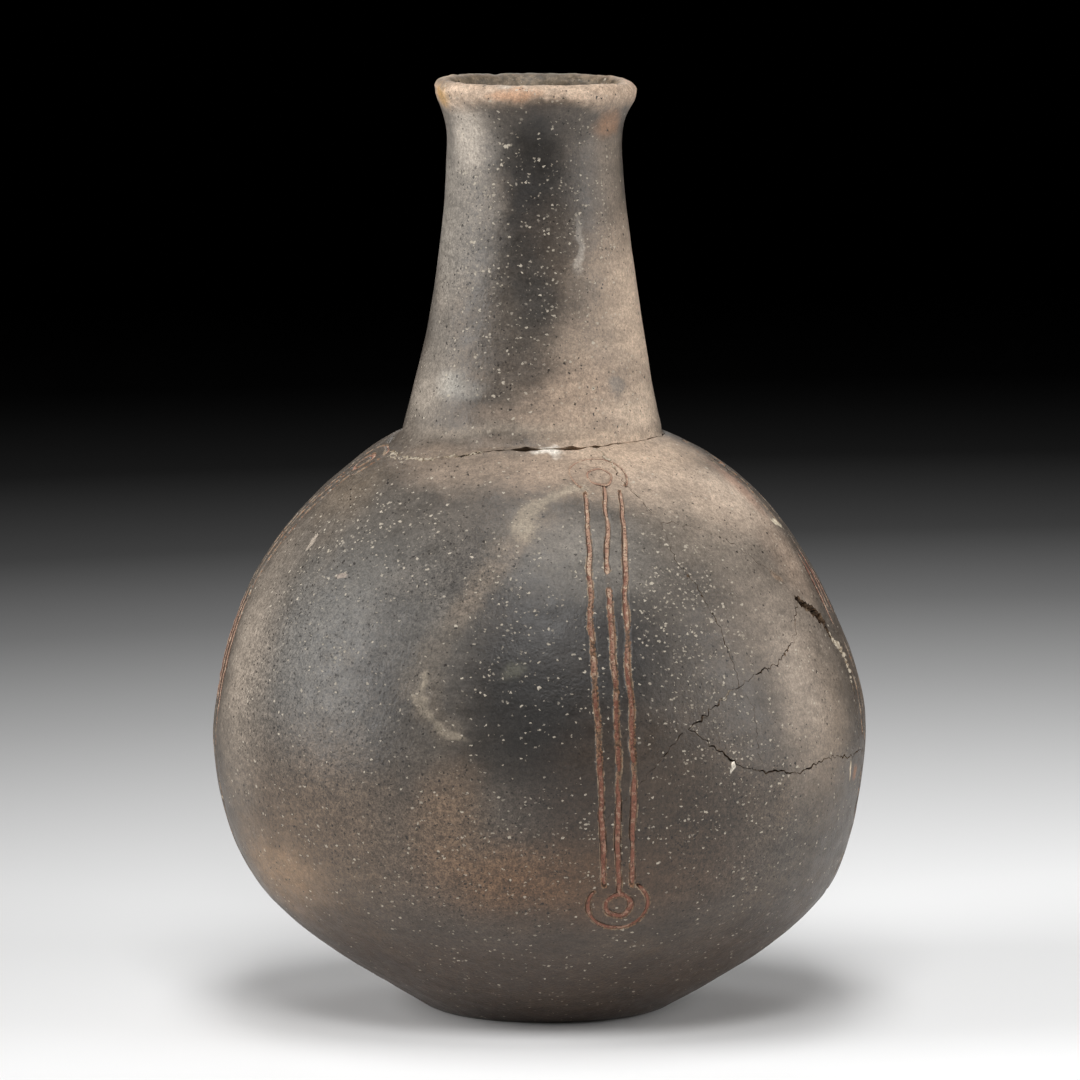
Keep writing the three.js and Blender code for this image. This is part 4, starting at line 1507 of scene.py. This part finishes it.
def lip_colour(shade, colour, sunk):
    """Lays the bare clay of the lip over the neck's colour, and smoke inside the mouth."""
    fine = warped(shade, 110, 5, 0.0065)
    grain = shade.noise(420, 4, 0.65)
    bare = shade.ramp(grain, 0.34, 0.66)
    bare = shade.mix(bare, screen((178, 154, 132)), screen((204, 179, 156)))
    bare = clouded(shade, bare, fine, LIP_MARKS)
    rise = shade.ramp(shade.height_of(fine), 0.2366, 0.2420, 0.0, 0.95)
    colour = shade.mix(rise, colour, bare)
    smoke = shade.mix(shade.ramp(grain, 0.4, 0.62), screen((98, 86, 70)), screen((136, 120, 100)))
    return shade.mix(sunk, colour, smoke)


def grainy(shade, colour):
    """Varies a colour: coarse noises multiply it by a level near 1, and fine ones by a level
    that strays further where the wall is more pitted."""
    along_wall = shade.moved(shade.place, Scale=(1, 1, 2.6))
    harsh = shade.ramp(shade.attribute("pits"), 0.15, 0.75, 0.62, 1.25)
    for scale, reach, place in ((50, 0.13, along_wall), (170, 0.13, along_wall),
                                (850, 0.30, None), (2200, 0.38, None)):
        noise = shade.noise(scale, 2, 0.6, place)
        level = shade.ramp(noise, 0.26, 0.74, -reach, reach)
        if place is None:
            level = shade.times(level, harsh)
        level = shade.plus(level, 1.0)
        grey = shade.node("ShaderNodeCombineColor", {0: level, 1: level, 2: level}).outputs[0]
        colour = shade.mix(1.0, colour, grey, "MULTIPLY")
    return colour


def sown(shade, colour, place, crowd, layers, tint):
    """Lays grains of several sizes over a colour where they are crowded. The layers give cells to
    the metre, the least and greatest grain and how often one shows, and tint gives each grain's
    mask, strength and colour. Gives the colour and the mask of all grains."""
    mask = None
    for scale, least, most, often in layers:
        inside, chance = shade.grains(scale, place, least, most)
        limit = shade.math("SUBTRACT", 1.0, shade.times(crowd, often))
        shown = shade.times(inside, shade.math("GREATER_THAN", chance[0], limit))
        shown, strength, grain = tint(shown, chance)
        colour = shade.mix(shade.times(shown, strength), colour, grain)
        mask = shown if mask is None else shade.math("MAXIMUM", mask, shown)
    return colour, mask


def speckled(shade, colour, s):
    """Lays pale temper grains and dark pits over a colour. Gives the colour and both masks."""
    jagged = warped(shade, 1300, 3, 0.0013)
    flat = shade.moved(jagged, Scale=(1, 1, 1.4))
    shifted = shade.moved(jagged, Location=(0.37, 0.11, 0.23))
    patchy = shade.ramp(shade.noise(120, 3, 0.6), 0.3, 0.7, 0.35, 1.4)

    def temper(shown, chance):
        shown = shade.times(shown, shade.ramp(chance[2], 0.0, 0.9, 0.35, 1.0))
        return shown, 0.85, shade.mix(chance[1], screen((146, 133, 114)), rgba(s.temper))

    colour, grains = sown(
        shade, colour, flat, shade.times(shade.attribute("temper"), patchy),
        ((230, 0.04, 0.16, 0.36), (420, 0.07, 0.24, 0.60), (860, 0.14, 0.36, 0.90)), temper)
    colour, pits = sown(
        shade, colour, shifted, shade.times(shade.attribute("pits"), patchy),
        ((300, 0.03, 0.15, 0.30), (720, 0.08, 0.28, 0.60), (1250, 0.10, 0.34, 0.90)),
        lambda shown, chance: (shown, 0.92, rgba(s.pit)))
    return colour, grains, pits


def lined(shade, colour, s):
    """Lays the engraved lines over a colour: raw clay inside a groove's edge and pale flakes just
    outside it. Gives the colour and the groove's mask."""
    edge, kept = shade.attribute("edge"), shade.attribute("kept")
    grit = shade.noise(1500, 3, 0.65)
    ragged = shade.plus(edge, shade.ramp(grit, 0.25, 0.75, -0.22, 0.22))
    patchy = shade.ramp(shade.noise(420, 2, 0.5), 0.42, 0.62)
    flakes = shade.times(shade.ramp(ragged, -0.34, -0.06), patchy)
    flakes = shade.times(flakes, shade.times(kept, 0.55))
    colour = shade.mix(flakes, colour, rgba(s.abraded))
    bare = shade.mix(shade.ramp(grit, 0.40, 0.62), screen((84, 64, 50)), rgba(s.raw_clay))
    groove = shade.times(shade.ramp(ragged, -0.05, 0.14),
                         shade.ramp(kept, 0.05, 0.7, 0.12, 1.0))
    return shade.mix(groove, colour, bare), groove


def burnished_clay():
    """Burnished, smoke-clouded earthenware with temper grains, pits, worn patches, a bare lip and
    the raw clay of the engraved lines."""
    found = bpy.data.materials.get("burnished_clay_finish")
    if found:
        return found
    s = sizes("bottle_finishes")
    shade = Shade("burnished_clay_finish")
    sunk = shade.attribute("sunk")
    colour = lip_colour(shade, ground_colour(shade, s), sunk)
    colour, grains, pits = speckled(shade, grainy(shade, colour), s)
    colour, groove = lined(shade, colour, s)

    light = shade.node("ShaderNodeRGBToBW", {0: colour}).outputs[0]
    gloss = shade.ramp(light, 0.03, 0.32, 0.43, 0.68)
    gloss = shade.plus(gloss, shade.ramp(shade.noise(240, 3, 0.6), 0.3, 0.7, -0.05, 0.07))
    gloss = shade.math("MAXIMUM", gloss, shade.times(groove, 0.9))
    relief = shade.math("SUBTRACT", shade.times(grains, 0.3), pits)
    grit = shade.times(shade.noise(1200, 3, 0.6), 0.9)
    normal = shade.bump(shade.plus(relief, grit), 0.00024, 0.6)
    normal = shade.bump(shade.noise(150, 3, 0.5), 0.0006, 0.3, Normal=normal)
    return shade.finish(colour, gloss, Normal=normal)


def broken_clay():
    """Granular clay where the wall is broken or chipped."""
    shade = Shade("broken_clay_finish")
    grit = shade.noise(900, 4, 0.65)
    colour = shade.mix(shade.ramp(grit, 0.35, 0.66), screen((58, 46, 36)), screen((136, 112, 88)))
    inside, chance = shade.grains(700, shade.place, 0.05, 0.3)
    shown = shade.times(inside, shade.math("GREATER_THAN", chance[0], 0.7))
    colour = shade.mix(shown, colour, screen((150, 134, 112)))
    return shade.finish(colour, 0.92, Normal=shade.bump(grit, 0.0004, 0.8))


def red_ochre():
    """Red ochre, paler towards the left side of a stroke and where it is worn, with grains of
    dust and of dark dirt."""
    s = sizes("bottle_finishes")
    shade = Shade("red_ochre_finish")
    stretch = shade.noise(70, 3, 0.6)
    fine = shade.noise(1500, 2, 0.7)
    coarse = shade.noise(620, 3, 0.7)
    side = shade.attribute("side")
    pale = shade.math("SUBTRACT", shade.times(stretch, 3.4), shade.times(side, 0.7))
    pale = shade.plus(pale, shade.attribute("worn"))
    colour = shade.mix(shade.ramp(pale, 1.1, 2.3), rgba(s.ochre), rgba(s.pale_ochre))
    dust = shade.times(shade.ramp(coarse, 0.50, 0.62, 0.0, 0.8),
                       shade.ramp(shade.attribute("worn"), -1.0, 0.2, 0.4, 1.0))
    colour = shade.mix(dust, colour, screen((206, 180, 154)))
    colour = shade.mix(shade.ramp(fine, 0.48, 0.36, 0.0, 0.85), colour, screen((88, 64, 52)))
    rim = shade.plus(shade.math("ABSOLUTE", side), shade.times(fine, 1.3))
    colour = shade.mix(shade.ramp(rim, 1.30, 1.62, 0.0, 0.8), colour, screen((84, 70, 60)))
    return shade.finish(colour, 0.92, Normal=shade.bump(fine, 0.0003, 0.8))


def old_filler():
    """Cream filler, dusty and stained."""
    s = sizes("bottle_finishes")
    shade = Shade("old_filler_finish")
    fine = shade.noise(700, 4, 0.65)
    colour = shade.mix(shade.ramp(fine, 0.36, 0.60), screen((128, 110, 88)), rgba(s.filler))
    return shade.finish(colour, 0.85, Normal=shade.bump(fine, 0.0003, 0.7))


# Stage

def placed(made, place, aim):
    """Puts a lamp or a camera at a place, to face a point."""
    made.location = place
    made.rotation_euler = (Vector(aim) - made.location).to_track_quat("-Z", "Y").to_euler()


def softbox(name, place, aim, width, height, power):
    """A rectangular area lamp that faces a point."""
    light = bpy.data.lights.new(name, "AREA")
    light.shape, light.size, light.size_y, light.energy = "RECTANGLE", width, height, power
    placed(object_of(name, light), place, aim)


# The floor's greys, as 0 to 255 on screen, at distances from the middle of the light's pool
FLOOR_POOL = (0.30, -0.10)
FLOOR_FADE = ((0.0, 254), (0.35, 249), (0.55, 220), (0.75, 180), (0.95, 132), (1.15, 82),
              (1.40, 40), (1.70, 12), (2.1, 0))


def floor_material():
    """A pale floor that darkens away from the middle of the light's pool."""
    shade = Shade("stage_floor_finish")
    distance = shade.node("ShaderNodeVectorMath", {0: shade.place, 1: (*FLOOR_POOL, 0.0)},
                          operation="DISTANCE")
    fade = shade.node("ShaderNodeValToRGB", {0: shade.math(
        "DIVIDE", distance.outputs["Value"], FLOOR_FADE[-1][0])})
    stops = fade.color_ramp.elements
    while len(stops) < len(FLOOR_FADE):
        stops.new(0.5)
    for stop, (reach, grey) in zip(stops, FLOOR_FADE):
        stop.position, stop.color = reach / FLOOR_FADE[-1][0], screen((grey,) * 3)
    return shade.finish(fade.outputs[0], 0.9, **{"Specular IOR Level": 0.0})


class BOTTLE_OT_stage(bpy.types.Operator):
    """Make the floor, the lamps and the camera"""
    bl_idname = "bottle.stage"
    bl_label = "Stage"

    def execute(self, context):
        s = sizes("bottle_stage")
        half = 8.0
        corners = [(x * half, y * half, 0) for x, y in ((-1, -1), (1, -1), (1, 1), (-1, 1))]
        floor = mesh_of("stage_floor", corners, [[0, 1, 2, 3]], floor_material())
        object_of("stage_floor", floor)
        aim = (0, 0, 0.11)
        softbox("left_softbox", (-1.10, -0.26, 0.48), aim, 0.60, 0.90, s.left_power)
        softbox("right_softbox", (1.10, -0.28, 0.44), aim, 0.60, 0.84, s.right_power)
        softbox("front_softbox", (0.02, -0.94, 1.15), aim, 0.56, 0.50, s.front_power)
        softbox("top_softbox", (0, -0.12, 1.40), (0, 0, 0), 0.40, 0.80, s.top_power)
        softbox("back_softbox", (0.04, 1.10, 0.90), aim, 0.70, 0.40, s.back_power)
        world = bpy.data.worlds.new("studio")
        context.scene.world = world
        world.use_nodes = True
        world.node_tree.nodes["Background"].inputs[0].default_value = (*(s.surround,) * 3, 1)

        camera = bpy.data.cameras.new("camera")
        camera.lens, camera.sensor_width = s.lens, 36.0
        camera.clip_end = 50
        seat = object_of("camera", camera)
        placed(seat, (0, -s.camera_distance, s.camera_height), (0, 0, s.aim_height))
        context.scene.camera = seat
        context.scene.view_settings.view_transform = "Standard"
        return {"FINISHED"}


# Add-on

class BOTTLE_PT_panel(bpy.types.Panel):
    """The bottle's pieces and settings"""
    bl_idname = "BOTTLE_PT_panel"
    bl_label = "Engraved Bottle"
    bl_space_type = "VIEW_3D"
    bl_region_type = "UI"
    bl_category = "Bottle"

    def draw(self, context):
        for operator in OPERATORS:
            self.layout.operator(operator.bl_idname)
        for name, group in GROUPS.items():
            box = self.layout.box()
            for setting in group.__annotations__:
                box.prop(getattr(context.scene, name), setting)


GROUPS = {
    "bottle_body": BodySizes,
    "bottle_neck": NeckSizes,
    "bottle_panels": PanelSizes,
    "bottle_mends": MendSizes,
    "bottle_finishes": Finishes,
    "bottle_stage": StageSettings,
}
OPERATORS = (BOTTLE_OT_body, BOTTLE_OT_neck, BOTTLE_OT_ochre, BOTTLE_OT_fillers, BOTTLE_OT_stage)


def register():
    """Registers the settings, the operators and the panel."""
    for made in (*GROUPS.values(), *OPERATORS, BOTTLE_PT_panel):
        bpy.utils.register_class(made)
    for name, group in GROUPS.items():
        setattr(bpy.types.Scene, name, bpy.props.PointerProperty(type=group))


def unregister():
    """Takes them all away again."""
    for name in GROUPS:
        delattr(bpy.types.Scene, name)
    for made in reversed((*GROUPS.values(), *OPERATORS, BOTTLE_PT_panel)):
        bpy.utils.unregister_class(made)


def main():
    """Makes every piece and the stage."""
    register()
    bpy.ops.bottle.body()
    bpy.ops.bottle.neck()
    bpy.ops.bottle.ochre()
    bpy.ops.bottle.fillers()
    bpy.ops.bottle.stage()


if __name__ == "__main__":
    main()
